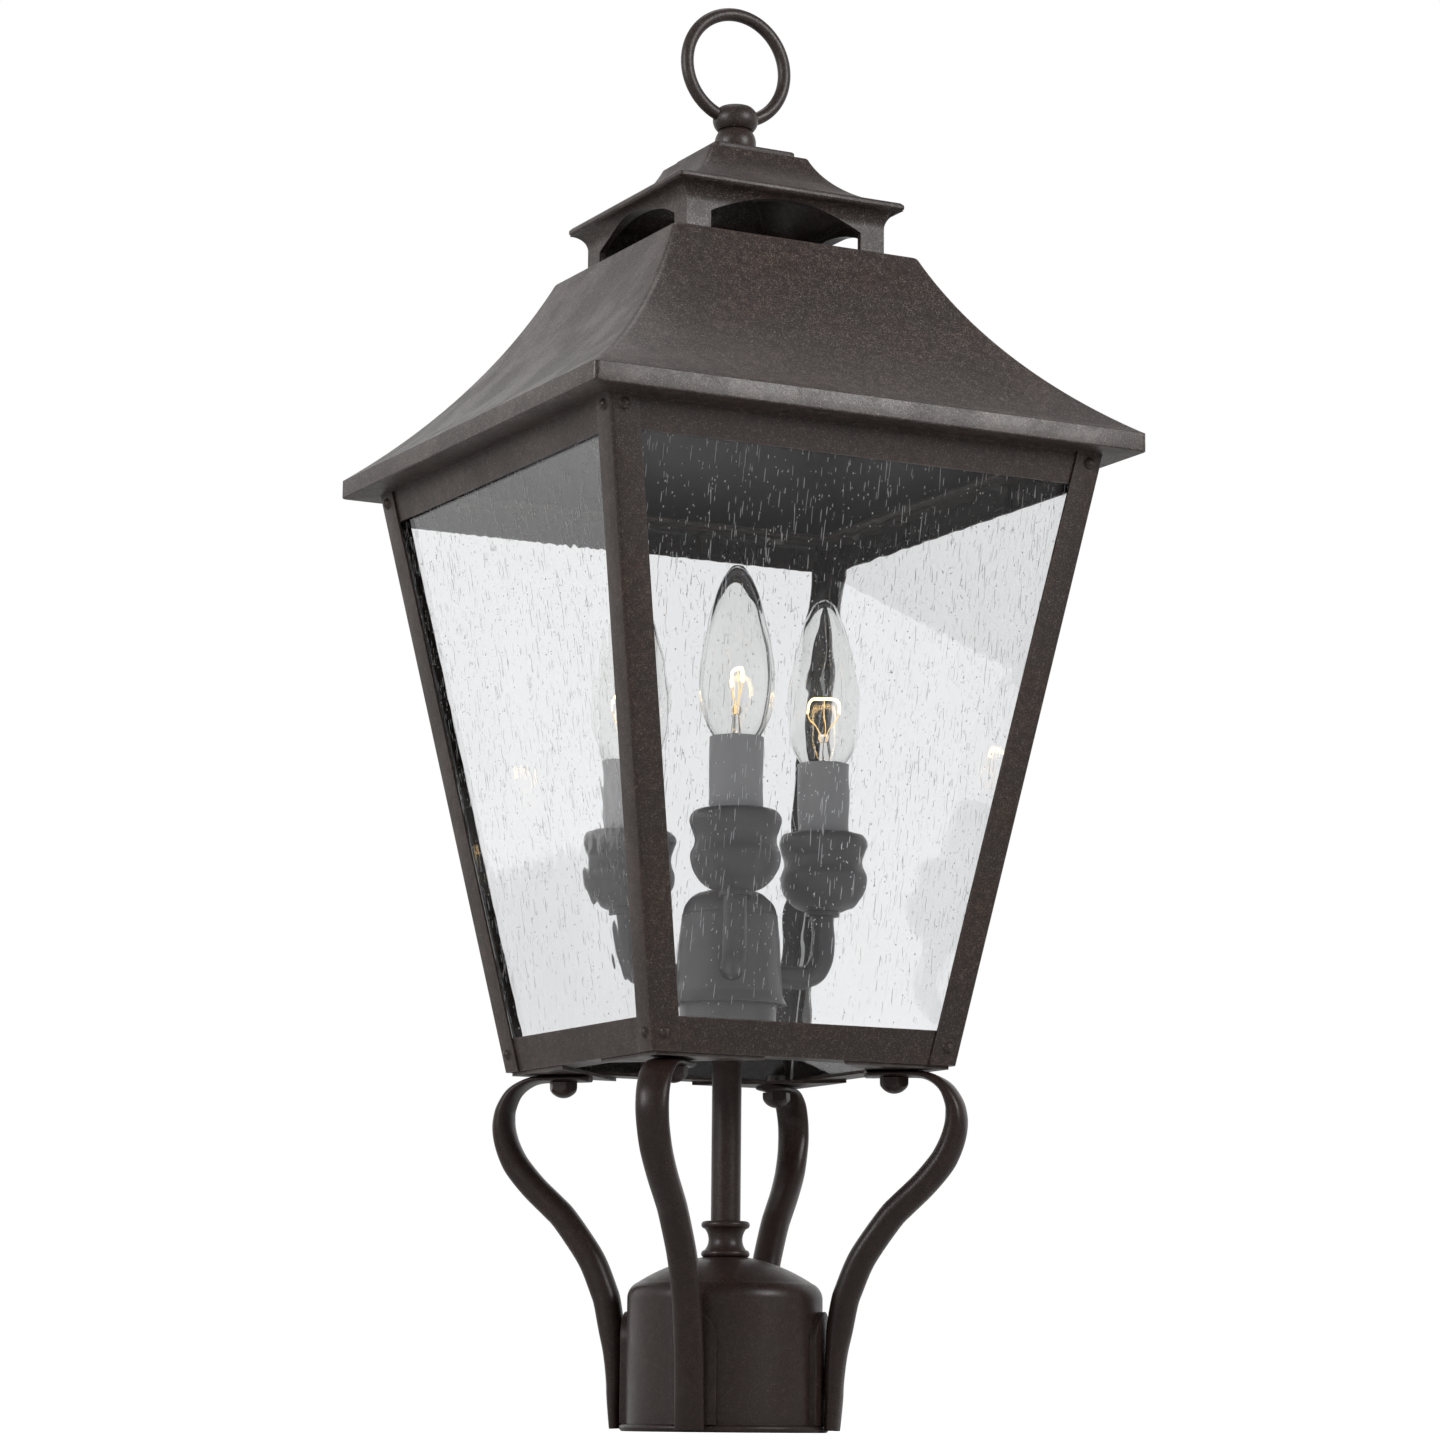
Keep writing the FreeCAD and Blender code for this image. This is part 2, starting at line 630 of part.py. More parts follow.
def make_set_screws():
    """Two hexagon head set screws on the sides away from the front."""
    point = bore_r.value + S["glass_gap"].value
    under_head = fitter_r.value + S["set_screw_travel"].value + S["glass_gap"].value
    shank = drum_shape(S["set_screw_d"].value / 2, point, under_head - point)
    head = hexagon(S["set_screw_head_w"].value, under_head, S["set_screw_head_h"].value)
    screw = shank.fuse(head).removeSplitter()
    sides = (("right", Rotation(Vector(0, 1, 0), 90)), ("back", Rotation(Vector(1, 0, 0), -90)))
    for side, turn in sides:
        piece = doc.addObject("Part::Feature", "set_screw_" + side)
        piece.Shape = screw
        piece.Placement = Placement(Vector(0, 0, S["set_screw_level"].value), turn)
        node(piece, "set_screw_" + side)


def make_stem():
    """Centre stem with its threaded ends, the spool collar and the three stem nuts."""
    stem_r = S["stem_d"] / 2
    way_r = S["stem_bore_d"] / 2
    low = S["dome_top"] - S["dome_wall"] - S["nut_height"] - S["stem_below"]
    high = S["hub_top"] + S["nut_height"] + S["stem_above"]
    node(turned("stem", [
        (way_r, low),
        (nipple_r, low),
        (nipple_r, S["dome_top"]),
        (stem_r, S["dome_top"]),
        (stem_r, S["hub_base"]),
        (nipple_r, S["hub_base"]),
        (nipple_r, high),
        (way_r, high),
    ]), "centre_stem")
    edge = S["collar_edge_round"]
    flange_r = stem_r + S["collar_wall"] - edge
    collar_bore = stem_r + S["fit_gap"]
    collar_top = S["dome_top"] + S["collar_height"]
    node(turned("collar", [
        (collar_bore, S["dome_top"]),
        (flange_r, S["dome_top"], edge * ROUND_SLACK, -1),
        (flange_r, S["dome_top"] + edge * 2, S["collar_waist_round"], 1),
        (flange_r, collar_top - edge * 2, edge * ROUND_SLACK, -1),
        (flange_r, collar_top),
        (collar_bore, collar_top),
    ]), "spool_collar")
    bottoms = [
        (S["dome_top"] - S["dome_wall"] - S["nut_height"]).value,
        (S["hub_base"] + S["hub_wall"]).value,
        S["hub_top"].value,
    ]
    nuts = []
    for bottom in bottoms:
        blank = hexagon(S["nut_width"].value, bottom, S["nut_height"].value)
        nuts.append(blank.cut(drum_shape(nipple_hole_r.value, bottom, S["nut_height"].value)))
    node(solid_group("nuts_on_stem", nuts), "stem_nuts")


def make_hub():
    """Bell, lower cover and the cluster body that the light arms screw into."""
    wall = S["hub_wall"]
    lip_r = S["hub_lip_d"] / 2
    skirt_r = S["hub_skirt_d"] / 2
    shoulder_r = S["hub_shoulder_d"] / 2
    skirt_level = S["hub_lip_level"] + S["hub_lip_rise"]
    dome_foot = (shoulder_r - S["hub_edge"], S["hub_shoulder_level"] + S["hub_edge"])
    dome_head = (nipple_hole_r + S["hub_flat"], S["hub_top"])
    dome_round = sag_radius(dome_foot, dome_head, S["hub_dome_sag"])
    bell = turned("bell_blank", [
        (lip_r - wall, S["hub_lip_level"]),
        (lip_r, S["hub_lip_level"]),
        (skirt_r, skirt_level),
        (shoulder_r, S["hub_shoulder_level"]),
        dome_foot + (dome_round, -1),
        dome_head,
        (nipple_hole_r, S["hub_top"]),
        (nipple_hole_r, S["hub_top"] - wall),
        (dome_head[0], S["hub_top"] - wall, dome_round - wall, 1),
        (dome_foot[0] - wall, dome_foot[1] - wall / 2),
        (skirt_r - wall, skirt_level),
    ])
    holes = []
    hole_d = S["arm_tube_d"] + S["fit_gap"] * 2
    for index, angle in enumerate(light_angles):
        turn = Rotation(Z_AXIS, angle) * Rotation(Vector(0, 1, 0), 90)
        holes.append(cylinder("bell_hole_%d" % index, hole_d, S["hub_lip_d"], 0, 0, S["arm_level"], turn))
    node(cut("bell", bell, joined("bell_holes", holes)), "hub_bell")
    cover_r = S["hub_cover_d"] / 2
    node(turned("cover", [
        (nipple_hole_r, S["hub_base"]),
        (cover_r - S["hub_cover_edge"], S["hub_base"]),
        (cover_r, S["hub_base"] + S["hub_cover_edge"]),
        (cover_r, S["hub_lip_level"]),
        (skirt_r - wall - S["fit_gap"], S["hub_lip_level"]),
        (skirt_r - wall - S["fit_gap"], S["hub_lip_level"] + wall),
        (cover_r - wall, S["hub_lip_level"] + wall),
        (cover_r - wall, S["hub_base"] + wall),
        (nipple_hole_r, S["hub_base"] + wall),
    ]), "hub_cover")
    core_base = S["arm_level"] - S["core_height"] / 2
    core_top = core_base + S["core_height"]
    node(turned("core", [
        (nipple_hole_r, core_base),
        (S["core_d"] / 2, core_base),
        (S["core_d"] / 2, core_top),
        (nipple_hole_r, core_top),
    ]), "cluster_body")


def bent_tube(name, diameter, angle):
    """A tube out from the cluster body, round its bend and up into the candle cup."""
    bend_start = S["light_reach"] - S["arm_bend"]
    start = S["core_d"] / 2 + S["fit_gap"]
    top = cup_floor + S["arm_end"]
    out = Rotation(Z_AXIS, angle)
    ways = [math.cos(math.radians(angle)), math.sin(math.radians(angle))]
    level = cylinder(name + "_level", diameter, bend_start - start, start * ways[0], start * ways[1],
                     S["arm_level"], out * Rotation(Vector(0, 1, 0), 90))
    bend = doc.addObject("Part::Torus", name + "_bend")
    bind(bend, "Radius1", S["arm_bend"])
    bind(bend, "Radius2", as_size(diameter) / 2)
    bend.Angle3 = 90
    centre = S["arm_level"] + S["arm_bend"]
    place(bend, bend_start * ways[0], bend_start * ways[1], centre,
          out * Rotation(Vector(1, 0, 0), 90) * Rotation(Z_AXIS, -90))
    rise = cylinder(name + "_rise", diameter, top - centre, S["light_reach"] * ways[0],
                    S["light_reach"] * ways[1], centre)
    return joined(name, [level, bend, rise])


def at_light(obj, angle):
    """Move a piece turned on the axis out to one light."""
    way = math.radians(angle)
    return place(obj, S["light_reach"] * math.cos(way), S["light_reach"] * math.sin(way), 0,
                 Rotation(Z_AXIS, angle))


def make_cup(name):
    """Turned candle cup with its ring, belly, neck and rolled rim."""
    base = S["cup_base"]
    top = base + S["cup_height"]
    bore_radius = S["sleeve_d"] / 2 + S["fit_gap"]
    tube_hole = S["arm_tube_d"] / 2 + S["fit_gap"]
    ring_r = S["cup_ring_d"] / 2
    ring_top = base + S["cup_ring_height"]
    belly_r = S["cup_belly_d"] / 2
    neck_r = S["cup_neck_d"] / 2 + S["cup_neck_flare"]
    rim_r = S["cup_rim_d"] / 2
    return turned(name, [
        (tube_hole, base),
        (ring_r, base),
        (ring_r, ring_top),
        (ring_r + S["cup_bowl_step"], ring_top, S["cup_bowl_round"], -1),
        (belly_r, base + S["cup_belly_level"], S["cup_belly_round"], -1),
        (belly_r - S["cup_belly_inset"], base + S["cup_belly_top"]),
        (neck_r, base + S["cup_neck_start"], S["cup_neck_round"], 1),
        (neck_r, base + S["cup_neck_end"]),
        (rim_r, base + S["cup_rim_level"], S["cup_rim_round"], -1),
        (rim_r - S["cup_rim_inset"], top),
        (bore_radius, top),
        (bore_radius, cup_floor),
        (tube_hole, cup_floor),
    ])


def make_holder(name):
    """Lamp holder that screws down on the light arm's end inside the sleeve."""
    holder_r = S["sleeve_d"] / 2 - S["sleeve_wall"] - S["holder_gap"]
    top = cup_floor + S["holder_height"]
    socket_r = S["cap_d"] / 2 + S["socket_gap"]
    tube_hole = S["arm_tube_d"] / 2 + S["fit_gap"]
    return turned(name, [
        (0, cup_floor + S["holder_seat"]),
        (tube_hole, cup_floor + S["holder_seat"]),
        (tube_hole, cup_floor),
        (holder_r, cup_floor),
        (holder_r, top),
        (socket_r, top),
        (socket_r, top - S["holder_bore_depth"]),
        (0, top - S["holder_bore_depth"]),
    ])


def make_sleeve(name):
    """Candle sleeve."""
    outer = S["sleeve_d"] / 2
    inner = outer - S["sleeve_wall"]
    top = cup_floor + S["sleeve_height"]
    return turned(name, [(inner, cup_floor), (outer, cup_floor), (outer, top), (inner, top)])


cap_base = cup_floor + S["holder_height"] - S["holder_bore_depth"] + S["cap_contact_h"] + S["glass_gap"]
cap_rim = cap_base + S["cap_height"]


def make_cap(name):
    """Screw cap of a lamp, with the contact button under it."""
    cap_r = S["cap_d"] / 2
    contact_r = S["cap_contact_d"] / 2
    return turned(name, [
        (0, cap_base - S["cap_contact_h"]),
        (contact_r, cap_base - S["cap_contact_h"]),
        (cap_r - S["cap_slope"], cap_base),
        (cap_r, cap_base + S["cap_slope"]),
        (cap_r, cap_rim),
        (0, cap_rim),
    ])


def make_bulb(name):
    """Hollow torpedo lamp glass: two arcs that meet upright at the widest place, and a tip."""
    wide_r = S["bulb_d"] / 2
    neck_r = S["cap_d"] / 2 + S["bulb_neck_step"]
    tip_r = S["bulb_tip_d"] / 2
    wall = S["bulb_wall"]
    belly = cap_rim + S["bulb_belly"]
    tip = belly + S["bulb_shoulder"]
    lower_in = wide_r - neck_r
    lower_round = (lower_in * lower_in + S["bulb_belly"] * S["bulb_belly"]) / (2 * lower_in)
    upper_in = wide_r - tip_r
    upper_round = (upper_in * upper_in + S["bulb_shoulder"] * S["bulb_shoulder"]) / (2 * upper_in)
    apex = tip + S["bulb_tip_h"]
    tip_in = tip_r - wall
    rise_in = S["bulb_tip_h"] - wall / 2
    return turned(name, [
        (neck_r - wall, cap_rim),
        (neck_r, cap_rim, lower_round, -1),
        (wide_r, belly, upper_round, -1),
        (tip_r, tip, dome_radius(tip_r, S["bulb_tip_h"]), -1),
        (0, apex),
        (0, apex - wall, dome_radius(tip_in, rise_in), 1),
        (tip_in, tip - wall / 2, upper_round, 1),
        (wide_r - wall, belly, lower_round, 1),
    ])


def make_filament(angle):
    """Glass mount, two lead wires and the filament between them, as one piece."""
    base = cap_rim.value
    mount_top = base + S["mount_height"].value
    level = base + S["filament_rise"].value
    half = S["filament_width"].value / 2
    mount = drum_shape(S["mount_d"].value / 2, base, mount_top - base)
    pieces = []
    for side in (-1, 1):
        foot = Vector(0, side * S["lead_apart"].value, mount_top - S["lead_sink"].value)
        head = Vector(0, side * half, level)
        pieces.append(Part.makeCylinder(S["lead_d"].value / 2, (head - foot).Length, foot, head - foot))
        pieces.append(Part.makeSphere(S["filament_hook_d"].value / 2, head))
    span = Part.makeCylinder(S["filament_d"].value / 2, half * 2, Vector(0, -half, level), Vector(0, 1, 0))
    shape = mount.multiFuse(pieces + [span])
    piece = doc.addObject("Part::Feature", "filament_at_%d" % round(angle))
    piece.Shape = shape
    way = math.radians(angle)
    reach = S["light_reach"].value
    piece.Placement = Placement(Vector(reach * math.cos(way), reach * math.sin(way), 0),
                                Rotation(Z_AXIS, angle))
    return piece


def make_lights():
    """Three lights, each with its arm, cup, holder, sleeve and lamp."""
    makers = [("candle_cup", make_cup), ("lamp_holder", make_holder), ("candle_sleeve", make_sleeve),
              ("lamp_cap", make_cap), ("lamp_glass", make_bulb)]
    for index, angle in enumerate(light_angles, start=1):
        outer = bent_tube("tube_%d" % index, S["arm_tube_d"], angle)
        inner = bent_tube("way_%d" % index, S["arm_tube_d"] - S["arm_tube_wall"] * 2, angle)
        node(cut("arm_%d" % index, outer, inner), "light_arm_%d" % index)
        for kind, maker in makers:
            name = "%s_%d" % (kind, index)
            node(at_light(maker(name + "_body"), angle), name)
        node(make_filament(angle), "lamp_filament_%d" % index)


def glass_back():
    """Depth of a glass pane's inner face behind the cage's outer face."""
    tails = S["sheet"] * 2 + S["fit_gap"] / 2 + S["rivet_tail_h"]
    return tails + S["glass_gap"] + S["glass_thickness"]


def rivet_seats():
    """Placements of the sixteen rivets, their own +Z square to the cage's leaning faces."""
    seats = []
    lean = (S["cage_top_half"] - S["cage_base_half"]).value / S["cage_height"].value
    tilt = math.degrees(math.atan(lean))
    for turn in SIDES.values():
        for level in ((S["cage_base"] + S["rivet_up"]), (cage_top - S["rivet_down"])):
            half = cage_half(level).value
            for side in (-1, 1):
                spot = Vector(side * (half - S["rivet_edge"].value), -half, level.value)
                face = Rotation(Z_AXIS, turn)
                square = face * Rotation(Vector(1, 0, 0), 90 + tilt)
                seats.append(Placement(face.multVec(spot), square))
    return seats


def rivet_shape():
    """Domed head, shank through post and rail, and an upset tail."""
    sheets = S["sheet"].value * 2 + S["fit_gap"].value / 2
    rise = S["rivet_head_h"].value
    head_r = S["rivet_head_d"].value / 2
    ball_r = (head_r ** 2 + rise ** 2) / (2 * rise)
    ball = Part.makeSphere(ball_r, Vector(0, 0, rise - ball_r))
    head = ball.common(drum_shape(ball_r * 2, 0, rise))
    tail_h = S["rivet_tail_h"].value
    shank = drum_shape(S["rivet_shank_d"].value / 2, -sheets, sheets)
    tail = drum_shape(S["rivet_shank_d"].value / 2 + tail_h, -sheets - tail_h, tail_h)
    return head.multiFuse([shank, tail]).removeSplitter()


def placed(shape, placement):
    """A copy of a shape at a placement."""
    copy = shape.copy()
    copy.Placement = placement.multiply(copy.Placement)
    return copy


def make_cage():
    """Corner posts, rails, glass panes, rivets and clips."""
    seats = rivet_seats()
    node(solid_group("rivets", [placed(rivet_shape(), seat) for seat in seats]), "frame_rivets")
    hole_r = S["rivet_shank_d"].value / 2 + S["fit_gap"].value
    drill = drum_shape(hole_r, -S["drill_length"].value / 2, S["drill_length"].value)
    holes = solid_group("rivet_holes", [placed(drill, seat) for seat in seats])
    make_posts(holes)
    make_base_frame(holes)
    make_top_frame(holes)
    make_glass()
    make_clips()


def make_posts(holes):
    """Four folded L posts that run from the base to the eave over the rails' ends."""
    turns = {"front_left": 0.0, "front_right": 90.0, "back_right": 180.0, "back_left": 270.0}
    for corner, turn in turns.items():
        on_face = leaning("leg_a_" + corner, S["cage_base"], cage_top, S["sheet"], as_size(0),
                          lambda half: -half, lambda half: S["post_leg"] - half, turn)
        round_corner = leaning("leg_b_" + corner, S["cage_base"], cage_top, S["sheet"], as_size(0),
                               lambda half: half - S["post_leg"], lambda half: half, turn - 90)
        folded = joined("fold_" + corner, [on_face, round_corner])
        node(cut("post_" + corner, folded, holes), "corner_post_" + corner)


def make_base_frame(holes):
    """Lower rails with their flange and the four corner gussets that the arms bolt to."""
    rails = rail_ring("base_rail", S["cage_base"], S["cage_base"] + S["base_rail"])
    ledge = flange_ring("base_ledge", S["cage_base"], S["cage_base"])
    under = S["cage_base"] - S["flange"]
    plate = square_plate("gusset_plate", S["cage_base_half"] - S["gusset_inset"], under, S["flange"])
    window = doc.addObject("Part::Box", "gusset_window")
    side = S["gusset_reach"] * math.sqrt(2)
    bind(window, "Length", side)
    bind(window, "Width", side)
    bind(window, "Height", S["flange"])
    place(window, 0, -S["gusset_reach"], under, Rotation(Z_AXIS, 45))
    gussets = cut("gussets", plate, window)
    whole = joined("base_frame_blank", rails + [ledge, gussets])
    drills = []
    for corner, turn in CORNERS.items():
        way = math.radians(turn)
        reach = S["arm_bolt_reach"]
        drills.append(cylinder("bolt_hole_" + corner, S["bolt_d"] + S["fit_gap"] * 2, S["flange"] * 4,
                               reach * math.cos(way), reach * math.sin(way), under - S["flange"]))
    drilled = cut("base_frame_drilled", whole, joined("bolt_holes", drills))
    node(cut("base_frame", drilled, holes), "bottom_frame")


def screw_spots():
    """Places of the eight roof screws, in the flange of the upper rails."""
    middle = (cage_half(cage_top) - glass_back() - S["screw_head_d"] / 2 - S["sheet"]).value
    along = S["roof_screw_place"].value
    return [Vector(side * along, -middle, 0) for side in (-1, 1)]


def make_top_frame(holes):
    """Upper rails with the flange that the roof's soffit lies on, and the roof screws."""
    rails = rail_ring("top_rails", cage_top - S["top_rail"], cage_top)
    ledge = flange_ring("top_ledge", cage_top - S["flange"], cage_top - S["flange"])
    whole = joined("top_frame_blank", rails + [ledge])
    hole_r = S["screw_d"].value / 2 + S["fit_gap"].value
    drills = []
    screws = []
    drilled_way = S["drill_length"].value
    head_low = cage_top.value - S["flange"].value - S["screw_head_h"].value
    for spot in screw_spots():
        drill = Part.makeCylinder(hole_r, drilled_way, spot + Vector(0, 0, cage_top.value - drilled_way / 2))
        drills += turned_copies(drill, SIDES.values())
        shank = Part.makeCylinder(S["screw_d"].value / 2, S["roof_screw_length"].value,
                                  spot + Vector(0, 0, head_low))
        head = Part.makeCone(S["screw_head_d"].value * HEAD_SLOPE, S["screw_head_d"].value / 2,
                             S["screw_head_h"].value, spot + Vector(0, 0, head_low))
        screws += turned_copies(shank.fuse(head).removeSplitter(), SIDES.values())
    screw_holes = solid_group("roof_screw_holes", drills)
    drilled = cut("top_frame_drilled", whole, screw_holes)
    node(cut("top_frame", drilled, holes), "top_frame")
    node(solid_group("screws_in_roof", screws), "roof_screws")
    make_roof(screw_holes)


def make_glass():
    """Four tapered panes that stand on the lower flange behind the rails."""
    behind = glass_back() - S["glass_thickness"]
    edge = glass_back() + S["glass_side_gap"]
    bottom = S["cage_base"] + S["flange"] + S["glass_gap"]
    top = cage_top - S["flange"] - S["glass_gap"]
    for side, turn in SIDES.items():
        pane = leaning("pane_" + side, bottom, top, behind + S["glass_thickness"], behind,
                       lambda half: edge - half, lambda half: half - edge, turn)
        node(pane, "glass_pane_" + side)


def make_clips():
    """Two spring clips a pane, hung from the upper flange behind the glass."""
    depth = (glass_back() + S["glass_gap"]).value
    high = (cage_top - S["flange"]).value
    low = high - S["clip_height"].value
    thick = S["clip_sheet"].value
    clips = []
    for side in (-1, 1):
        left = side * S["clip_place"].value - S["clip_width"].value / 2
        wires = []
        for level in (low, high):
            face = -cage_half(as_size(level)).value + depth
            corner = Vector(left, face, level)
            ways = [(0, 0), (S["clip_width"].value, 0), (S["clip_width"].value, thick), (0, thick), (0, 0)]
            wires.append(Part.makePolygon([corner + Vector(x, y, 0) for x, y in ways]))
        leg = Part.makeLoft(wires, True, True)
        foot_start = -cage_half(as_size(high)).value + depth
        foot = Part.makeBox(S["clip_width"].value, S["clip_foot"].value, thick,
                            Vector(left, foot_start, high - thick))
        clips += turned_copies(leg.fuse(foot).removeSplitter(), SIDES.values())
    node(solid_group("clips", clips), "glass_clips")


def make_roof(screw_holes):
    """Concave hipped roof: upright eave band, soffit and a flat vented top."""
    skin = S["roof_sheet"]
    start = (S["roof_top_half"], roof_top)
    end = (S["eave_half"] - S["eave_edge"], eave_top)
    curve = sag_radius(start, end, S["roof_sag"])
    outside = hipped("roof_outside", [
        (start[0], start[1], curve, -1),
        end,
        (S["eave_half"], eave_top - S["eave_edge_drop"]),
        (S["eave_half"], cage_top),
    ], S["eave_half"])
    inside = hipped("roof_inside", [
        (start[0] - skin * ROOF_HEAD_IN, start[1] - skin, curve + skin, -1),
        (end[0] - skin, end[1] - skin * ROOF_FOOT_DOWN),
        (S["eave_half"] - skin, cage_top + skin),
        (S["soffit_half"], cage_top + skin),
        (S["soffit_half"], cage_top - skin),
    ], S["eave_half"] + 10)
    vent = cylinder("roof_vent", S["roof_vent_d"], skin * 4, 0, 0, roof_top - skin * 2)
    shell = cut("roof_shell", outside, joined("roof_hollow", [inside, vent]))
    vented = cut("roof_drilled", shell, screw_holes)
    node(cut("roof", vented, cupola_screw_holes()), "main_roof")


def cupola_screw_spots():
    """Places of the four screws that hold the cupola to the roof's flat top."""
    inset = S["cupola_half"] - S["cupola_wall"] - S["screw_head_d"] / 2 - S["screw_side_gap"]
    return Vector(inset.value, inset.value, 0)


def cupola_screw_holes():
    """Drills for the cupola screws."""
    hole_r = S["screw_d"].value / 2 + S["fit_gap"].value
    way = S["drill_length"].value
    drill = Part.makeCylinder(hole_r, way, cupola_screw_spots() + Vector(0, 0, roof_top.value - way / 2))
    return solid_group("cupola_screw_drills", turned_copies(drill, SIDES.values()))


def make_cupola():
    """Vented cupola with its base flange and screws, and the concave cap with its plinth."""
    half = S["cupola_half"]
    inner = half - S["cupola_wall"]
    cove_foot = cupola_top - S["cupola_cove"]
    cove = sag_radius((half, cove_foot), (half + S["cupola_flare"], cupola_top), S["cupola_cove_sag"])
    outside = hipped("cupola_outside", [
        (half + S["cupola_flare"], cupola_top, cove, -1),
        (half, cove_foot),
        (half, roof_top),
    ], half + S["cupola_flare"])
    inside = square_plate("cupola_inside", inner, roof_top + S["roof_sheet"], S["cupola_height"])
    hatch = square_plate("cupola_hatch", inner - S["cupola_ledge"], roof_top, S["cupola_height"])
    tube = cut("cupola_tube", outside, joined("cupola_hollow", [inside, hatch]))
    sill = roof_top + S["roof_sheet"]
    spring = roof_top + S["vent_jamb"]
    arch = sag_radius((-S["vent_half"], spring), (S["vent_half"], spring), S["vent_rise"])
    opening = [
        (-S["vent_half"], sill),
        (S["vent_half"], sill),
        (S["vent_half"], spring, arch, -1),
        (-S["vent_half"], spring),
    ]
    vents = [prism("vent_x", opening, half + 10, 0), prism("vent_y", opening, half + 10, 90)]
    vented = cut("cupola_vented", tube, joined("cupola_vents", vents))
    node(cut("cupola", vented, cupola_screw_holes()), "cupola_body")
    base = cupola_screw_spots() + Vector(0, 0, roof_top.value)
    flange_top = S["roof_sheet"].value
    length = S["cupola_screw_length"].value
    shank = Part.makeCylinder(S["screw_d"].value / 2, length, base + Vector(0, 0, flange_top - length))
    head = Part.makeCone(S["screw_head_d"].value / 2, S["screw_head_d"].value * HEAD_SLOPE,
                         S["screw_head_h"].value, base + Vector(0, 0, flange_top))
    screws = turned_copies(shank.fuse(head).removeSplitter(), SIDES.values())
    node(solid_group("screws_in_cupola", screws), "cupola_screws")
    make_cupola_cap()


def make_cupola_cap():
    """Cap with a thin rounded eave, concave slopes, a flat top and a raised square plinth."""
    edge = S["cap_edge_slope"]
    eave = S["cap_half"]
    start = (S["cap_top_half"], cap_top)
    end = (eave - edge, cupola_top + S["cap_edge"])
    curve = sag_radius(start, end, S["cap_sag"])
    outside = hipped("cap_outside", [
        (start[0], start[1], curve, -1),
        end,
        (eave, cupola_top + S["cap_edge"] - edge),
        (eave, cupola_top + edge),
        (eave - edge, cupola_top),
    ], eave)
    skin = S["cap_wall"]
    inside = hipped("cap_inside", [
        (start[0] - skin, start[1] - skin, curve + skin, -1),
        (S["cupola_half"] - S["cupola_wall"], cupola_top + skin),
        (S["cupola_half"] - S["cupola_wall"], cupola_top - skin),
    ], eave + 10)
    plinth = square_plate("plinth", S["plinth_half"], cap_top - skin, S["plinth_height"] + skin)
    hole = cylinder("stud_hole", S["stud_d"] + S["fit_gap"] * 2, S["cap_rise"], 0, 0,
                    plinth_top - S["cap_rise"] / 2)
    shell = cut("cap_shell", outside, inside)
    node(cut("cap", joined("cap_blank", [shell, plinth]), hole), "cupola_cap")


def make_finial():
    """Lower bead, knuckle with its stud, ring and the nut under the cap."""
    stud_hole = S["stud_d"] / 2 + S["fit_gap"]
    end_r = S["bead_end_d"] / 2
    node(turned("bead", [
        (stud_hole, plinth_top),
        (end_r, plinth_top, S["bead_round"], -1),
        (end_r, bead_top),
        (stud_hole, bead_top),
    ]), "finial_bead")
    side_top = bead_top + S["knuckle_side"]
    stud_low = cap_top - S["cap_wall"] - S["nut_height"] - S["stud_end"]
    barrel_r = S["knuckle_end_d"] / 2
    blank = turned("knuckle_blank", [
        (0, stud_low),
        (S["stud_d"] / 2, stud_low),
        (S["stud_d"] / 2, bead_top),
        (barrel_r, bead_top, S["knuckle_round"], -1),
        (barrel_r, side_top, S["knuckle_top_round"], -1),
        (barrel_r - S["knuckle_top_inset"], knuckle_top),
        (0, knuckle_top),
    ])
    ring_middle = knuckle_top - S["ring_sink"] + S["ring_d"] / 2
    tunnel = ring("ring_tunnel", S["ring_wire_d"] + S["fit_gap"] * 2, ring_middle)
    node(cut("knuckle", blank, tunnel), "finial_knuckle")
    node(ring("ring", S["ring_wire_d"], ring_middle), "finial_ring")
    nut_low = (cap_top - S["cap_wall"] - S["nut_height"]).value
    blank_nut = hexagon(S["finial_nut_width"].value, nut_low, S["nut_height"].value)
    nut = blank_nut.cut(drum_shape(stud_hole.value, nut_low, S["nut_height"].value))
    node(solid_group("nut_on_stud", [nut]), "finial_nut")


def ring(name, wire, middle):
    """An upright ring whose plane faces the front."""
    hoop = doc.addObject("Part::Torus", name)
    bind(hoop, "Radius1", S["ring_d"] / 2)
    bind(hoop, "Radius2", wire / 2)
    return place(hoop, 0, 0, middle, Rotation(Vector(1, 0, 0), 90))


def arm_section(reach, level, width, thickness, lean):
    """Closed curve across an arm's bar; lean is the bar's own direction in the upright plane."""
    square = Vector(math.cos(lean), 0, math.sin(lean))
    points = []
    for index in range(SECTION_POINTS):
        angle = 2 * math.pi * index / SECTION_POINTS
        across, through = math.cos(angle), math.sin(angle)
        wide = math.copysign(abs(across) ** (2 / SECTION_POWER), across) * width / 2
        deep = math.copysign(abs(through) ** (2 / SECTION_POWER), through) * thickness / 2
        points.append(Vector(reach, 0, level) + Vector(0, wide, 0) + square * deep)
    curve = Part.BSplineCurve()
    curve.interpolate(Points=points, PeriodicFlag=True)
    return Part.Wire([curve.toShape()])


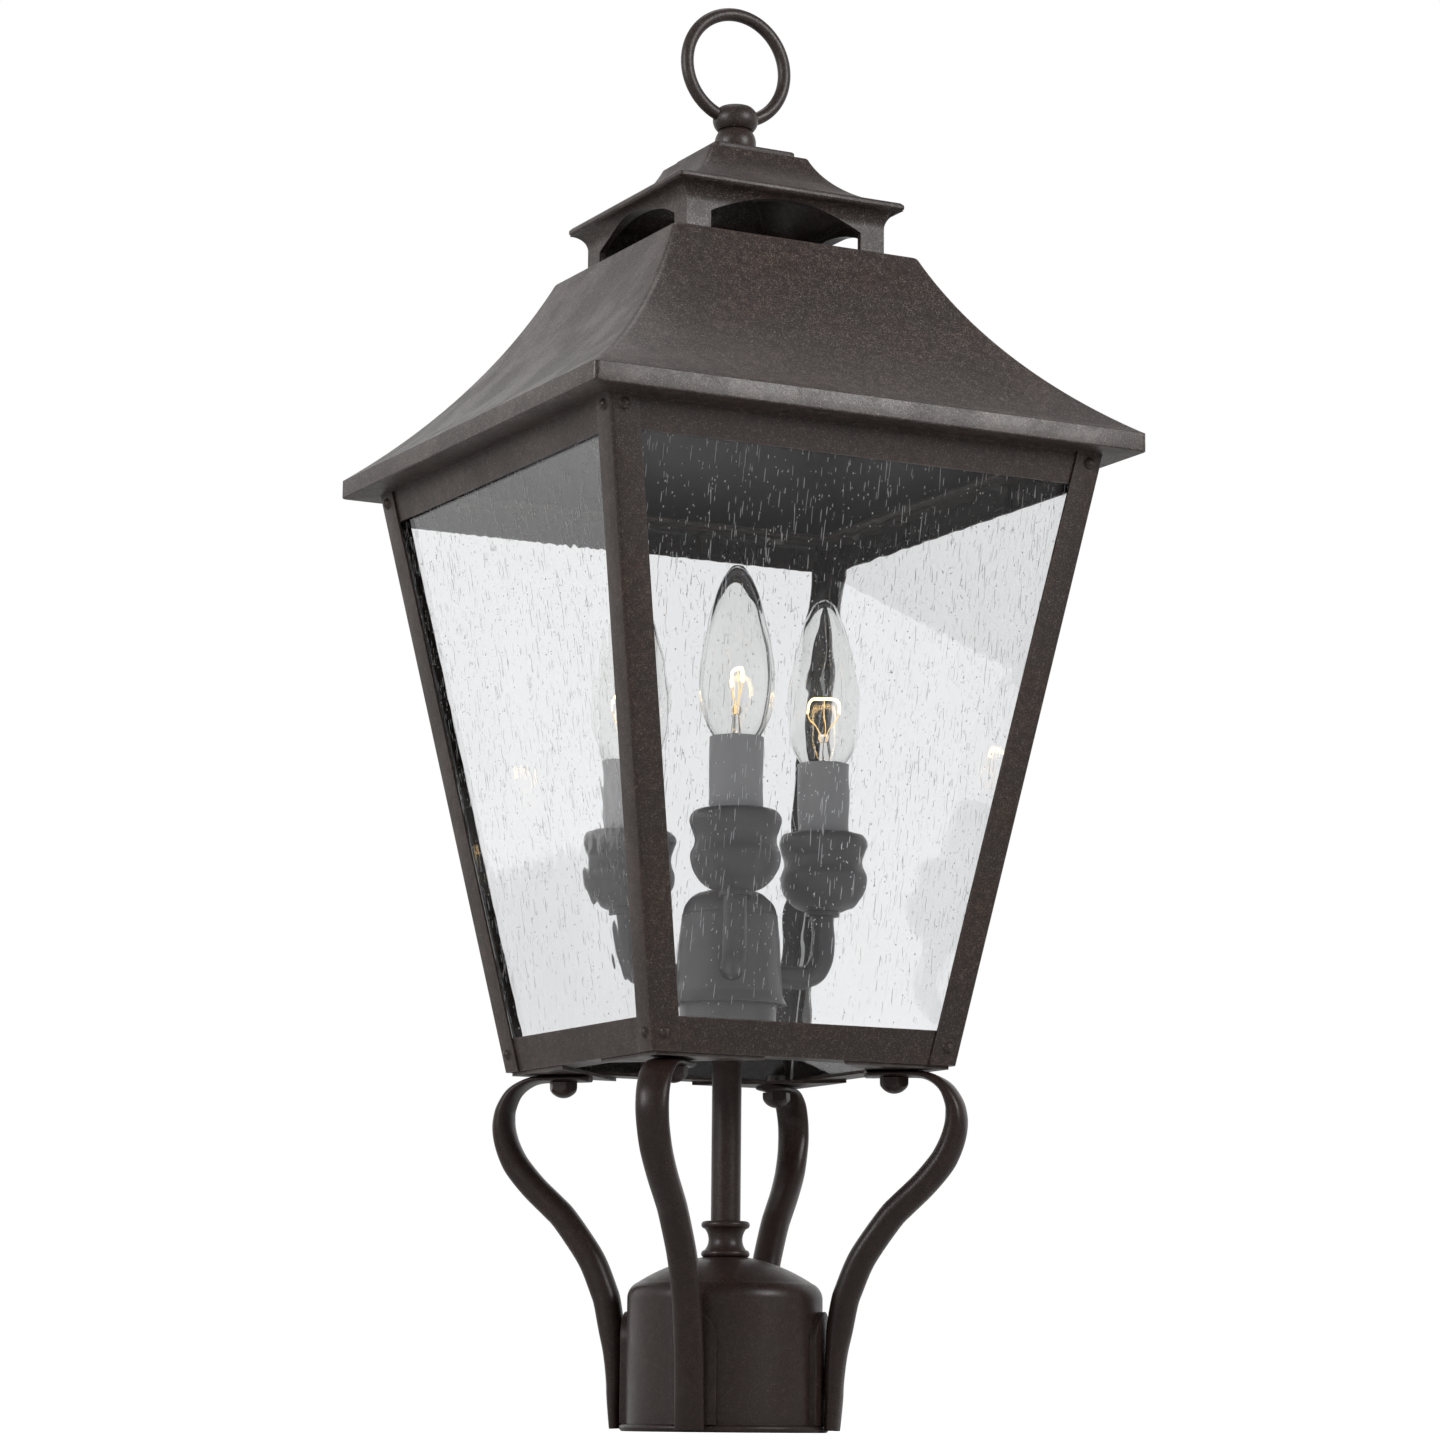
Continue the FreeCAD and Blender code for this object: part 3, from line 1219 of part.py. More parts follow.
def arm_shape():
    """One scroll arm in the XZ plane, lofted through its stations and drilled for its bolt."""
    tab = S["arm_tab"].value
    under_frame = (S["cage_base"] - S["flange"]).value
    tab_level = under_frame - tab / 2
    bolt = S["arm_bolt_reach"].value
    tip = bolt - S["arm_tab_end"].value
    bar = S["arm_bar_width"].value
    foot_thickness = bar * ARM_SWEEP[-1][3]
    foot = fitter_r.value + S["saddle"].value + S["arm_foot_gap"].value + foot_thickness / 2
    low = S["arm_foot"].value
    wide = bar * ARM_SWEEP[0][2]
    stations = [(tip + along, tab_level, wide * share, tab) for along, share in TAB_SWEEP]
    for out, up, width, thickness in ARM_SWEEP:
        middle = foot + (S["arm_bulge"].value - foot) * out
        inner_limit = fitter_r.value + S["saddle"].value + S["arm_foot_gap"].value + bar * thickness / 2
        stations.append((max(middle, inner_limit), low + (tab_level - low) * up,
                         bar * width, max(bar * thickness, tab)))
    sections = []
    for index, (reach, level, width, thickness) in enumerate(stations):
        before = stations[max(index - 1, 0)]
        after = stations[min(index + 1, len(stations) - 1)]
        lean = math.atan2(after[1] - before[1], after[0] - before[0]) + math.pi / 2
        if index < len(TAB_SWEEP):
            lean = math.pi / 2
        if index == len(stations) - 1:
            lean = math.pi
        sections.append(arm_section(reach, level, width, thickness, lean))
    bar_shape = Part.makeLoft(sections, True, False)
    way = S["drill_length"].value
    drill = Part.makeCylinder(S["bolt_d"].value / 2 + S["fit_gap"].value, way,
                              Vector(bolt, 0, tab_level - way / 2))
    return bar_shape.cut(drill)


def saddle_shape():
    """Curved plate between an arm's foot and the fitter, with a bullet-shaped top."""
    bottom = S["rim_round"].value * 2
    top = S["saddle_top"].value
    half = S["saddle_width"].value / 2
    inner = drum_shape(fitter_r.value + S["fit_gap"].value, 0, top * 2)
    outer = drum_shape(fitter_r.value + S["saddle"].value, bottom, top)
    shoulder = top - S["saddle_crown"].value
    out, down = half * CROWN_OUT, half * CROWN_DOWN
    side = Vector(0, half, shoulder)
    crown = Part.Arc(side, Vector(0, out, top - down), Vector(0, 0, top)).toShape()
    other = Part.Arc(Vector(0, 0, top), Vector(0, -out, top - down), Vector(0, -half, shoulder)).toShape()
    lower = Part.makePolygon([Vector(0, -half, shoulder), Vector(0, -half, bottom),
                              Vector(0, half, bottom), side])
    outline = Part.Wire([crown, other] + lower.Edges)
    leaf = Part.Face(outline).extrude(Vector(fitter_r.value * 2, 0, 0))
    return outer.cut(inner).common(leaf)


def cap_nut_shape(reach):
    """Hexagonal nut with a low domed end, under an arm's flattened end."""
    top = (S["cage_base"] - S["flange"] - S["arm_tab"]).value
    height = S["cap_nut_height"].value
    width = S["cap_nut_width"].value
    blank = hexagon(width, top - height, height)
    ball_r = S["cap_nut_round"].value
    ball = Part.makeSphere(ball_r, Vector(0, 0, top - height + ball_r))
    drum = drum_shape(width, top - height + ball_r, height)
    shape = blank.common(ball.fuse(drum))
    bore_low = top - height + S["cap_nut_end"].value
    bore = drum_shape(S["bolt_d"].value / 2 + S["fit_gap"].value, bore_low, height)
    shape = shape.cut(bore)
    shape.translate(Vector(reach, 0, 0))
    return shape


def bolt_shape(reach):
    """Arm bolt: round head on the gusset, shank down into its cap nut."""
    top = S["cage_base"].value
    nut_low = S["cage_base"] - S["flange"] - S["arm_tab"] - S["cap_nut_height"]
    low = (nut_low + S["cap_nut_end"] + S["bolt_end_gap"]).value
    shank = Part.makeCylinder(S["bolt_d"].value / 2, top - low, Vector(reach, 0, low))
    head = Part.makeCone(S["bolt_head_d"].value / 2, S["bolt_head_top_d"].value / 2,
                         S["bolt_head_h"].value, Vector(reach, 0, top))
    return shank.fuse(head).removeSplitter()


def make_scroll_arms():
    """Four scroll arms on the diagonals with their saddles, bolts and cap nuts."""
    arm = arm_shape()
    for corner, turn in CORNERS.items():
        piece = doc.addObject("Part::Feature", "arm_" + corner)
        piece.Shape = arm
        piece.Placement = Placement(Vector(0, 0, 0), Rotation(Z_AXIS, turn))
        node(piece, "scroll_arm_" + corner)
    reach = S["arm_bolt_reach"].value
    turns = CORNERS.values()
    node(solid_group("saddles", turned_copies(saddle_shape(), turns)), "arm_saddles")
    node(solid_group("arm_bolt_set", turned_copies(bolt_shape(reach), turns)), "arm_bolts")
    node(solid_group("cap_nut_set", turned_copies(cap_nut_shape(reach), turns)), "cap_nuts")


def check_and_write():
    """Stop on any failed object, then write each piece to its own file."""
    doc.recompute()
    for obj in doc.Objects:
        if "Invalid" in obj.State or "Error" in obj.State:
            raise RuntimeError("%s failed to build: %s" % (obj.Label, obj.State))
    for obj in parts:
        if obj.Shape.isNull() or not obj.Shape.isValid() or not obj.Shape.Solids:
            raise RuntimeError("%s has no valid solid" % obj.Label)
    os.makedirs("parts", exist_ok=True)
    for obj in parts:
        obj.Shape.exportStep("parts/%s.step" % obj.Label)
        print("%-28s %d solid(s) %10.1f mm3" % (obj.Label, len(obj.Shape.Solids), obj.Shape.Volume))
    print("%d pieces" % len(parts))


make_fitter()
make_set_screws()
make_stem()
make_hub()
make_lights()
make_cage()
make_cupola()
make_finial()
make_scroll_arms()
check_and_write()
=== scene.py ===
"""Post top lantern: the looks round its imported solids.

Pieces are laid out in millimetres, in the solids' own frame: +Z up, the wide front pane looks along -Y.
mesh_piece turns them into metres, in which the studio's lamps and the finishes' patterns are given.
Surfaces are arrays of points of shape (rows, columns, 3), worked out from a profile or a path.
"""
import math

import bmesh
import bpy
import numpy as np
from mathutils import Matrix


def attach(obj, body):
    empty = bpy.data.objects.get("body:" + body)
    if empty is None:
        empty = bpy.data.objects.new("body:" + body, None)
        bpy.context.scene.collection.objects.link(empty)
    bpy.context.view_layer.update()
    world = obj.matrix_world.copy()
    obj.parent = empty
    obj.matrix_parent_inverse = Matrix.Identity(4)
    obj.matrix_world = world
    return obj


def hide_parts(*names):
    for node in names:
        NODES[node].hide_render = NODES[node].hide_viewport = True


MM = 0.001
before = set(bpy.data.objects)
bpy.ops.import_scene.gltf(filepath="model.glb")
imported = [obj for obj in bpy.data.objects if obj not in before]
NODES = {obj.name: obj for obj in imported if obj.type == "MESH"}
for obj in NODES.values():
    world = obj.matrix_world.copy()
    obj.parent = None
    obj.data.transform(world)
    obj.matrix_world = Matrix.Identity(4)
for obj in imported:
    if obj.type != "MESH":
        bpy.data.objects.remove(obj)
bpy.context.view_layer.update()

LIGHTS = [math.radians(5.0 + 120.0 * k) for k in range(3)]
LIGHT_REACH = 49.0
CAGE_LOW, CAGE_TOP = 155.0, 417.9
CAGE_LOW_HALF, CAGE_TOP_HALF = 72.5, 118.8
EAVE_HALF = 132.3
POST_LEG, POST_SHEET = 13.3, 1.2
PANE_LOW, PANE_TOP = 156.8, 416.1
PANE_NEAR, PANE_FAR, PANE_INSET = 3.175, 6.175, 7.275
SEEDS_IN_A_PANE = 2300
ROOF_HOLLOW_LOW = 424.0
CORNERS = {"front_left": 225.0, "front_right": 315.0, "back_right": 45.0, "back_left": 135.0}
SIDES = {"front": 0.0, "right": 90.0, "back": 180.0, "left": 270.0}


# ---------------------------------------------------------------- curves and surfaces

def through(points, count):
    """A smooth line through points: Catmull-Rom, the cubic whose slope at each point is half the
    step between its neighbours. Returns count points."""
    p = np.asarray(points, float)
    p = np.vstack([2 * p[0] - p[1], p, 2 * p[-1] - p[-2]])
    t = np.linspace(0, len(p) - 3, count)
    k = np.minimum(t.astype(int), len(p) - 4)
    u = (t - k)[:, None]
    a, b, c, d = p[k], p[k + 1], p[k + 2], p[k + 3]
    return 0.5 * (2 * b + (c - a) * u + (2 * a - 5 * b + 4 * c - d) * u ** 2
                  + (3 * b - a - 3 * c + d) * u ** 3)


def sagged(start, end, sag, count):
    """The circular arc from start to end that leaves its chord by sag, left of the way if plus."""
    a, b = np.asarray(start, float), np.asarray(end, float)
    chord = b - a
    half = np.linalg.norm(chord) / 2
    radius = (half ** 2 + sag ** 2) / (2 * abs(sag))
    side = np.array([-chord[1], chord[0]]) / (2 * half) * np.sign(sag)
    centre = (a + b) / 2 + side * (abs(sag) - radius)
    sweep = math.asin(min(1.0, half / radius))
    angles = np.linspace(-sweep, sweep, count)
    along = chord / (2 * half)
    return centre + radius * (np.outer(np.sin(angles), along) + np.outer(np.cos(angles), side))


def eased(corners, count=5):
    """A line of corners (x, y, radius) with each corner rounded: the arc that touches both sides."""
    line = []
    total = len(corners)
    for k, (x, y, radius) in enumerate(corners):
        here = np.array([x, y], float)
        before = np.array(corners[(k - 1) % total][:2], float) - here
        after = np.array(corners[(k + 1) % total][:2], float) - here
        if radius <= 0:
            line.append(here[None])
            continue
        u, v = before / np.linalg.norm(before), after / np.linalg.norm(after)
        half = math.acos(np.clip(u @ v, -1, 1)) / 2
        reach = min(radius / math.tan(half), 0.49 * np.linalg.norm(before), 0.49 * np.linalg.norm(after))
        radius = reach * math.tan(half)
        centre = here + (u + v) / np.linalg.norm(u + v) * radius / math.sin(half)
        first, last = here + u * reach - centre, here + v * reach - centre
        t = np.linspace(0, 1, count)[:, None]
        turn = math.acos(np.clip(first @ last / radius ** 2, -1, 1))
        line.append(centre + (np.sin((1 - t) * turn) * first + np.sin(t * turn) * last) / math.sin(turn))
    return np.vstack(line)


def mesh_piece(name, points, faces, crisp=35.0, merge=True):
    """One mesh object from points in millimetres and quads or triangles, crisp past an angle."""
    mesh = bpy.data.meshes.new(name)
    mesh.from_pydata((np.asarray(points, float).reshape(-1, 3) * MM).tolist(), [], faces)
    if merge:
        shell = bmesh.new()
        shell.from_mesh(mesh)
        bmesh.ops.remove_doubles(shell, verts=shell.verts, dist=1e-7)
        shell.to_mesh(mesh)
        shell.free()
    mesh.validate()
    mesh.polygons.foreach_set("use_smooth", np.ones(len(mesh.polygons), bool))
    mesh.set_sharp_from_angle(angle=math.radians(crisp))
    piece = bpy.data.objects.new(name, mesh)
    bpy.context.scene.collection.objects.link(piece)
    return piece


def quads(rows, columns, start=0, close_rows=False, close_columns=True):
    """Quads of a grid of points, closed round its columns and its rows where asked."""
    r = np.arange(rows if close_rows else rows - 1)
    c = np.arange(columns if close_columns else columns - 1)
    i, j = np.meshgrid(r, c, indexing="ij")
    i2, j2 = (i + 1) % rows, (j + 1) % columns
    found = np.stack([i * columns + j, i * columns + j2, i2 * columns + j2, i2 * columns + j], -1)
    return (found.reshape(-1, 4) + start).tolist()


def ends(rows, columns, start=0):
    """The two caps of a grid that is closed round its columns, each one flat face."""
    first = (np.arange(columns)[::-1] + start).tolist()
    last = (np.arange(columns) + (rows - 1) * columns + start).tolist()
    return [first, last]


def turned(name, profile, at=(0.0, 0.0), steps=96):
    """A turned piece: each profile point (r, z) at the angle a is (r cos a, r sin a, z).

    The profile is a closed loop that runs anticlockwise in the (r, z) plane."""
    profile = np.asarray(profile, float)
    a = np.linspace(0, 2 * math.pi, steps, endpoint=False)
    r, z = profile[:, :1], profile[:, 1:]
    grid = np.stack([at[0] + r * np.cos(a), at[1] + r * np.sin(a), z + 0 * a], -1)
    faces = np.array(quads(len(profile), steps, close_rows=True)).reshape(len(profile), steps, 4)
    on_axis = np.abs(r[:, 0]) < 1e-9
    shown = ~(on_axis & np.roll(on_axis, -1))
    return mesh_piece(name, grid, faces[shown].reshape(-1, 4).tolist())


def squared(name, profile, corner, per_side=9, per_corner=6):
    """A four-sided piece: each profile point (h, z) runs round a square of half side h whose
    corners are rounded by a radius, which shrinks with h near the axis."""
    profile = np.asarray(profile, float)
    h, z = profile[:, :1], profile[:, 1:]
    round_r = np.minimum(corner, 0.5 * h)
    turn = np.linspace(0, math.pi / 2, per_corner)
    run = np.linspace(-1, 1, per_side)[1:-1]
    rings = []
    for k in range(4):
        a = turn + k * math.pi / 2
        cx, cy = [(1, 1), (-1, 1), (-1, -1), (1, -1)][k]
        rings.append(np.stack([cx * (h - round_r) + round_r * np.cos(a),
                               cy * (h - round_r) + round_r * np.sin(a), z + 0 * a], -1))
        side = (h - round_r) * run
        x, y = [(-side, h + 0 * run), (-h + 0 * run, -side), (side, -h + 0 * run), (h + 0 * run, side)][k]
        rings.append(np.stack([x, y, z + 0 * run], -1))
    grid = np.concatenate(rings, 1)
    return mesh_piece(name, grid, quads(len(profile), grid.shape[1], close_rows=True), crisp=28.0)


def swept(name, path, wide, deep, across, power=2.5, around=40):
    """A bar along a path: at each path point the section is |x/a|^n + |y/b|^n = 1, with a half of
    wide along the steady direction across, and b half of deep square to both."""
    path = np.asarray(path, float)
    ahead = np.gradient(path, axis=0)
    ahead /= np.linalg.norm(ahead, axis=1)[:, None]
    across = np.asarray(across, float)
    out = np.cross(np.broadcast_to(across, ahead.shape), ahead)
    out /= np.linalg.norm(out, axis=1)[:, None]
    a = np.linspace(0, 2 * math.pi, around, endpoint=False)
    c = np.sign(np.cos(a)) * np.abs(np.cos(a)) ** (2 / power)
    s = np.sign(np.sin(a)) * np.abs(np.sin(a)) ** (2 / power)
    wide = np.asarray(wide, float).reshape(-1, 1) / 2
    deep = np.asarray(deep, float).reshape(-1, 1) / 2
    grid = (path[:, None] + (wide * c)[..., None] * across + (deep * s)[..., None] * out[:, None])
    return mesh_piece(name, grid, quads(len(path), around) + ends(len(path), around))


def pipe(name, path, radius, around=24, closed=False):
    """A round tube along a path, with a frame that leans as little as it can from point to point."""
    path = np.asarray(path, float)
    ahead = np.gradient(path, axis=0)
    if closed:
        ahead = np.roll(path, -1, 0) - np.roll(path, 1, 0)
    ahead /= np.linalg.norm(ahead, axis=1)[:, None]
    seed = np.array([0.0, 0, 1]) if abs(ahead[0][2]) < 0.9 else np.array([1.0, 0, 0])
    side = [np.cross(ahead[0], seed)]
    for tangent in ahead[1:]:
        next_side = side[-1] - tangent * (side[-1] @ tangent)
        side.append(next_side)
    side = np.array(side)
    side /= np.linalg.norm(side, axis=1)[:, None]
    other = np.cross(ahead, side)
    a = np.linspace(0, 2 * math.pi, around, endpoint=False)
    radius = np.broadcast_to(np.asarray(radius, float).reshape(-1, 1), (len(path), 1))
    grid = (path[:, None] + (radius * np.cos(a))[..., None] * side[:, None]
            + (radius * np.sin(a))[..., None] * other[:, None])
    faces = quads(len(path), around, close_rows=closed)
    return mesh_piece(name, grid, faces if closed else faces + ends(len(path), around))


def stand_for(piece, node, body, material):
    """Put a piece in place of a CAD node, on its body and with its finish."""
    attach(piece, body)
    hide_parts(node)
    piece.data.materials.clear()
    piece.data.materials.append(material)
    return piece


# ---------------------------------------------------------------- the lantern's own pieces

def cage_half(z):
    """Half side of the cage's outer faces at a height: a straight line from base to eave."""
    return CAGE_LOW_HALF + (z - CAGE_LOW) * (CAGE_TOP_HALF - CAGE_LOW_HALF) / (CAGE_TOP - CAGE_LOW)


def on_side(side, u, depth, z):
    """Points on one side of the cage: u along it, depth behind its leaning face, z up."""
    a = math.radians(SIDES[side])
    back = cage_half(z) - depth
    c, s = math.cos(a), math.sin(a)
    return np.stack([u * c + back * s, u * s - back * c, z + 0 * u], -1)


def make_posts(coat):
    """Folded corner posts: an L of sheet with a rounded fold, carried up along the cage's lean."""
    for corner, angle in CORNERS.items():
        section = eased([(0, 0, 1.5), (POST_LEG, 0, 0.3), (POST_LEG, POST_SHEET, 0.3),
                         (POST_SHEET, POST_SHEET, 0.5), (POST_SHEET, POST_LEG, 0.3), (0, POST_LEG, 0.3)], 6)
        z = np.linspace(CAGE_LOW, CAGE_TOP, 12)[:, None]
        x, y = section[:, 0] - cage_half(z), section[:, 1] - cage_half(z)
        a = math.radians(angle - CORNERS["front_left"])
        c, s = math.cos(a), math.sin(a)
        grid = np.stack([x * c - y * s, x * s + y * c, z + 0 * x], -1)
        faces = quads(len(z), len(section)) + ends(len(z), len(section))
        piece = mesh_piece("folded_post_" + corner, grid, faces)
        stand_for(piece, "corner_post_" + corner, "lantern", coat)


# A scroll arm: how far out its foot and its widest sweep are, the levels of its foot and its tab, where
# the flattened tab ends and how thick it is, and how wide the round bar is.
ARM_FOOT_REACH, ARM_BULGE = 47.45, 102.4
ARM_FOOT_LEVEL, ARM_TAB_LEVEL = 0.8, 151.9
ARM_TAB_TIP, ARM_TAB = 62.5, 3.2
ARM_BAR = 12.8

# Stations of the tab: distance from its tip, and share of its full width there.
TAB_SWEEP = [(0.0, 0.45), (1.6, 0.8), (4.5, 1.0), (15.5, 1.0)]

# Stations of the bar from the tab to the foot. Each gives how far out its middle is (0 at the foot,
# 1 at the widest sweep), its height (0 at the foot, 1 at the tab), and its width and depth beside
# the round bar's width.
ARM_SWEEP = [
    (0.720, 0.998, 1.13, 0.26),
    (0.831, 0.984, 1.13, 0.305),
    (0.924, 0.958, 1.13, 0.44),
    (0.984, 0.917, 1.12, 0.585),
    (1.000, 0.884, 1.11, 0.69),
    (0.998, 0.854, 1.10, 0.75),
    (0.975, 0.817, 1.08, 0.805),
    (0.929, 0.777, 1.06, 0.85),
    (0.869, 0.742, 1.04, 0.88),
    (0.737, 0.687, 1.01, 0.89),
    (0.566, 0.630, 0.99, 0.90),
    (0.475, 0.597, 0.985, 0.90),
    (0.318, 0.520, 0.98, 0.905),
    (0.225, 0.466, 0.98, 0.915),
    (0.143, 0.395, 0.98, 0.915),
    (0.109, 0.358, 0.98, 0.905),
    (0.070, 0.2825, 0.985, 0.86),
    (0.045, 0.213, 0.99, 0.70),
    (0.028, 0.140, 1.00, 0.615),
    (0.026, 0.087, 1.01, 0.555),
    (0.014, 0.001, 1.02, 0.45),
]


def arm_stations():
    """A scroll arm's stations, to a tenth of a millimetre: out from the axis, up, width across the
    arm's plane, and depth in it."""
    full_width = ARM_BAR * ARM_SWEEP[0][2]
    tab = [(ARM_TAB_TIP + along, ARM_TAB_LEVEL, full_width * share, ARM_TAB) for along, share in TAB_SWEEP]
    out, up, width, depth = np.array(ARM_SWEEP).T
    reach = ARM_FOOT_REACH + (ARM_BULGE - ARM_FOOT_REACH) * out
    level = ARM_FOOT_LEVEL + (ARM_TAB_LEVEL - ARM_FOOT_LEVEL) * up
    bar = np.stack([reach, level, ARM_BAR * width, ARM_BAR * depth], -1)
    return np.round(np.vstack([tab, bar]), 1)


def make_arms(coat):
    """Scroll arms: a nearly round bar along a smooth line, flattened to a tab under the cage and
    thinned to a foot down the saddle plate."""
    line = through(arm_stations(), 150)
    for corner, angle in CORNERS.items():
        c, s = math.cos(math.radians(angle)), math.sin(math.radians(angle))
        path = np.stack([line[:, 0] * c, line[:, 0] * s, line[:, 1]], -1)
        piece = swept("scroll_bar_" + corner, path, line[:, 2], line[:, 3], (-s, c, 0.0), 2.25, 36)
        stand_for(piece, "scroll_arm_" + corner, "lantern", coat)


def make_roof(coat, lit_inside_coat):
    """Roof sheet: upright band, concave slope (an arc) and flat top, run round a rounded square.

    The faces of its hollow, which look down from above the eave, have a pale grey copy of the coat: painted
    light, the brightness that the lit underside shows behind the panes, not a coat of its own."""
    outer = sagged((131.8, 426.4), (60.2, 511.5), 7.3, 26)
    inner = sagged((59.2, 509.9), (130.2, 425.1), -7.2, 20)
    corners = [(EAVE_HALF, CAGE_TOP, 0.6), (EAVE_HALF, 426.2, 0.5)]
    corners += [(x, y, 0.0) for x, y in outer[:-1]] + [(60.2, 511.5, 2.0)]
    corners += [(28.0, 511.5, 0.5), (28.0, 509.9, 0.5)] + [(x, y, 0.0) for x, y in inner]
    corners += [(130.7, 419.5, 0.4), (100.0, 419.5, 0.4), (100.0, CAGE_TOP, 0.4)]
    piece = squared("hipped_roof", eased(corners), 2.4)
    stand_for(piece, "main_roof", "lantern", coat)
    piece.data.materials.append(lit_inside_coat)
    faces = piece.data.polygons
    middle, normal = np.empty(3 * len(faces), np.float32), np.empty(3 * len(faces), np.float32)
    faces.foreach_get("center", middle)
    faces.foreach_get("normal", normal)
    hollow = (middle[2::3] > ROOF_HOLLOW_LOW * MM) & (normal[2::3] < -0.1)
    faces.foreach_set("material_index", hollow.astype(np.int32))


def make_cap(coat):
    """Cupola cap: thin eave, concave slope (an arc), raised square, run round a rounded square."""
    outer = sagged((55.0, 536.8), (24.3, 560.9), 5.0, 20)
    inner = sagged((22.1, 558.7), (46.2, 535.6), -4.6, 14)
    corners = [(55.2, 533.4, 0.5), (56.0, 534.4, 0.6), (56.0, 535.8, 0.6)]
    corners += [(x, y, 0.0) for x, y in outer[:-1]] + [(24.3, 560.9, 1.0), (20.0, 560.9, 0.5)]
    corners += [(20.0, 564.3, 0.9), (3.3, 564.3, 0.3), (3.3, 558.7, 0.3)]
    corners += [(x, y, 0.0) for x, y in inner] + [(46.2, 533.4, 0.4)]
    piece = squared("vent_cap", eased(corners), 1.7)
    stand_for(piece, "cupola_cap", "lantern", coat)


def ripple(u, z, rng, count=70):
    """Unevenness of rolled glass: a sum of sines, short across (4 to 12 mm) and long up (10 to 50 mm),
    each as high as its own length allows for one steady slope."""
    across = rng.uniform(4.0, 12.0, count)
    up = rng.uniform(10.0, 50.0, count) * rng.choice([-1.0, 1.0], count)
    phase = rng.uniform(0, 2 * math.pi, count)
    slope = 0.0048 * math.sqrt(2.0 / count)
    height = np.zeros(np.broadcast(u, z).shape)
    for k in range(count):
        height += slope * across[k] / (2 * math.pi) * np.sin(
            2 * math.pi * (u / across[k] + z / up[k]) + phase[k])
    return height


def seed_points(rng, count, low, high, half_at):
    """Places and sizes of seeds: even over the pane, some of them round, most drawn out by the rolls."""
    v = rng.uniform(0, 1, count)
    z = low + (high - low) * np.sqrt(v * (1 + v) / 2)
    u = rng.uniform(-1, 1, count) * half_at(z)
    drawn = rng.uniform(0, 1, count) < 0.55
    length = np.where(drawn, np.clip(np.exp(rng.normal(1.1, 0.6, count)), 1.0, 12.0),
                      rng.uniform(0.35, 0.9, count))
    width = np.where(drawn, rng.uniform(0.18, 0.36, count), length * rng.uniform(0.6, 0.85, count))
    depth = rng.uniform(3.9, 5.45, count)
    lean = rng.normal(0.0, 0.035, count)
    return u, z, depth, length, width, lean


def make_pane(side, coat, seed_coat, seed):
    """One seeded pane: a plate whose two faces carry their own ripple, with drawn-out seeds inside.

    A seed is four rings of five points, as wide as the sine of the way from tip to tip allows. It
    has a pale finish of its own, because a real seed shows as the light that it throws about."""
    rng = np.random.default_rng(seed)
    rows, columns = 90, 150
    z = np.linspace(PANE_LOW, PANE_TOP, rows)[:, None]
    share = np.linspace(-1, 1, columns)
    half = cage_half(z) - PANE_INSET
    u = half * share
    shells = []
    for depth in (PANE_NEAR, PANE_FAR):
        uneven = ripple(u, z, rng)
        rim = np.minimum(1.0, (half - np.abs(u)) / 3.0)
        shells.append(on_side(side, u, depth + uneven * rim, z))
    grid = np.concatenate([shells[0], shells[1][:, ::-1]], 1)
    faces = quads(rows, 2 * columns)
    caps = []
    for row in (0, rows - 1):
        base = row * 2 * columns
        k = np.arange(columns - 1)
        over = base + 2 * columns - 1 - k
        strip = np.stack([base + k, base + k + 1, over - 1, over], -1)
        caps += (strip[:, ::-1] if row == 0 else strip).tolist()
    points = [grid.reshape(-1, 3)]
    count = SEEDS_IN_A_PANE
    su, sz, sd, length, width, lean = seed_points(
        rng, count, PANE_LOW + 3, PANE_TOP - 3, lambda level: cage_half(level) - PANE_INSET - 2)
    rings, around = 4, 5
    t = (np.arange(rings) + 1) / (rings + 1) * math.pi
    a = np.arange(around) * 2 * math.pi / around
    wide = (np.sin(t) ** 0.7)[None, :, None] * (width / 2)[:, None, None]
    rise = -np.cos(t)[None, :, None] * (length / 2)[:, None, None]
    ring_u = su[:, None, None] + wide * np.cos(a) + rise * lean[:, None, None]
    ring_z = sz[:, None, None] + rise + 0 * a
    ring_d = sd[:, None, None] + wide * np.sin(a)
    tips = np.array([-1.0, 1.0])[None, :] * (length / 2)[:, None]
    tip_u = su[:, None] + tips * lean[:, None]
    tip_z, tip_d = sz[:, None] + tips, sd[:, None] + 0 * tips
    flat = [np.concatenate([ring.reshape(count, -1), tip], 1)
            for ring, tip in ((ring_u, tip_u), (ring_d, tip_d), (ring_z, tip_z))]
    points.append(on_side(side, *flat).reshape(-1, 3))
    one = quads(rings, around)
    low_tip, high_tip = rings * around, rings * around + 1
    for k in range(around):
        following = (k + 1) % around
        one.append([low_tip, following, k])
        one.append([high_tip, (rings - 1) * around + k, (rings - 1) * around + following])
    per = rings * around + 2
    start = rows * 2 * columns
    plate = faces + caps
    seeds = [[corner + start + index * per for corner in face] for index in range(count) for face in one]
    piece = mesh_piece("seeded_pane_" + side, np.concatenate(points), plate + seeds, merge=False)
    stand_for(piece, "glass_pane_" + side, "lantern", coat)
    piece.data.materials.append(seed_coat)
    finish = np.zeros(len(piece.data.polygons), np.int32)
    finish[len(plate):] = 1
    piece.data.polygons.foreach_set("material_index", finish)


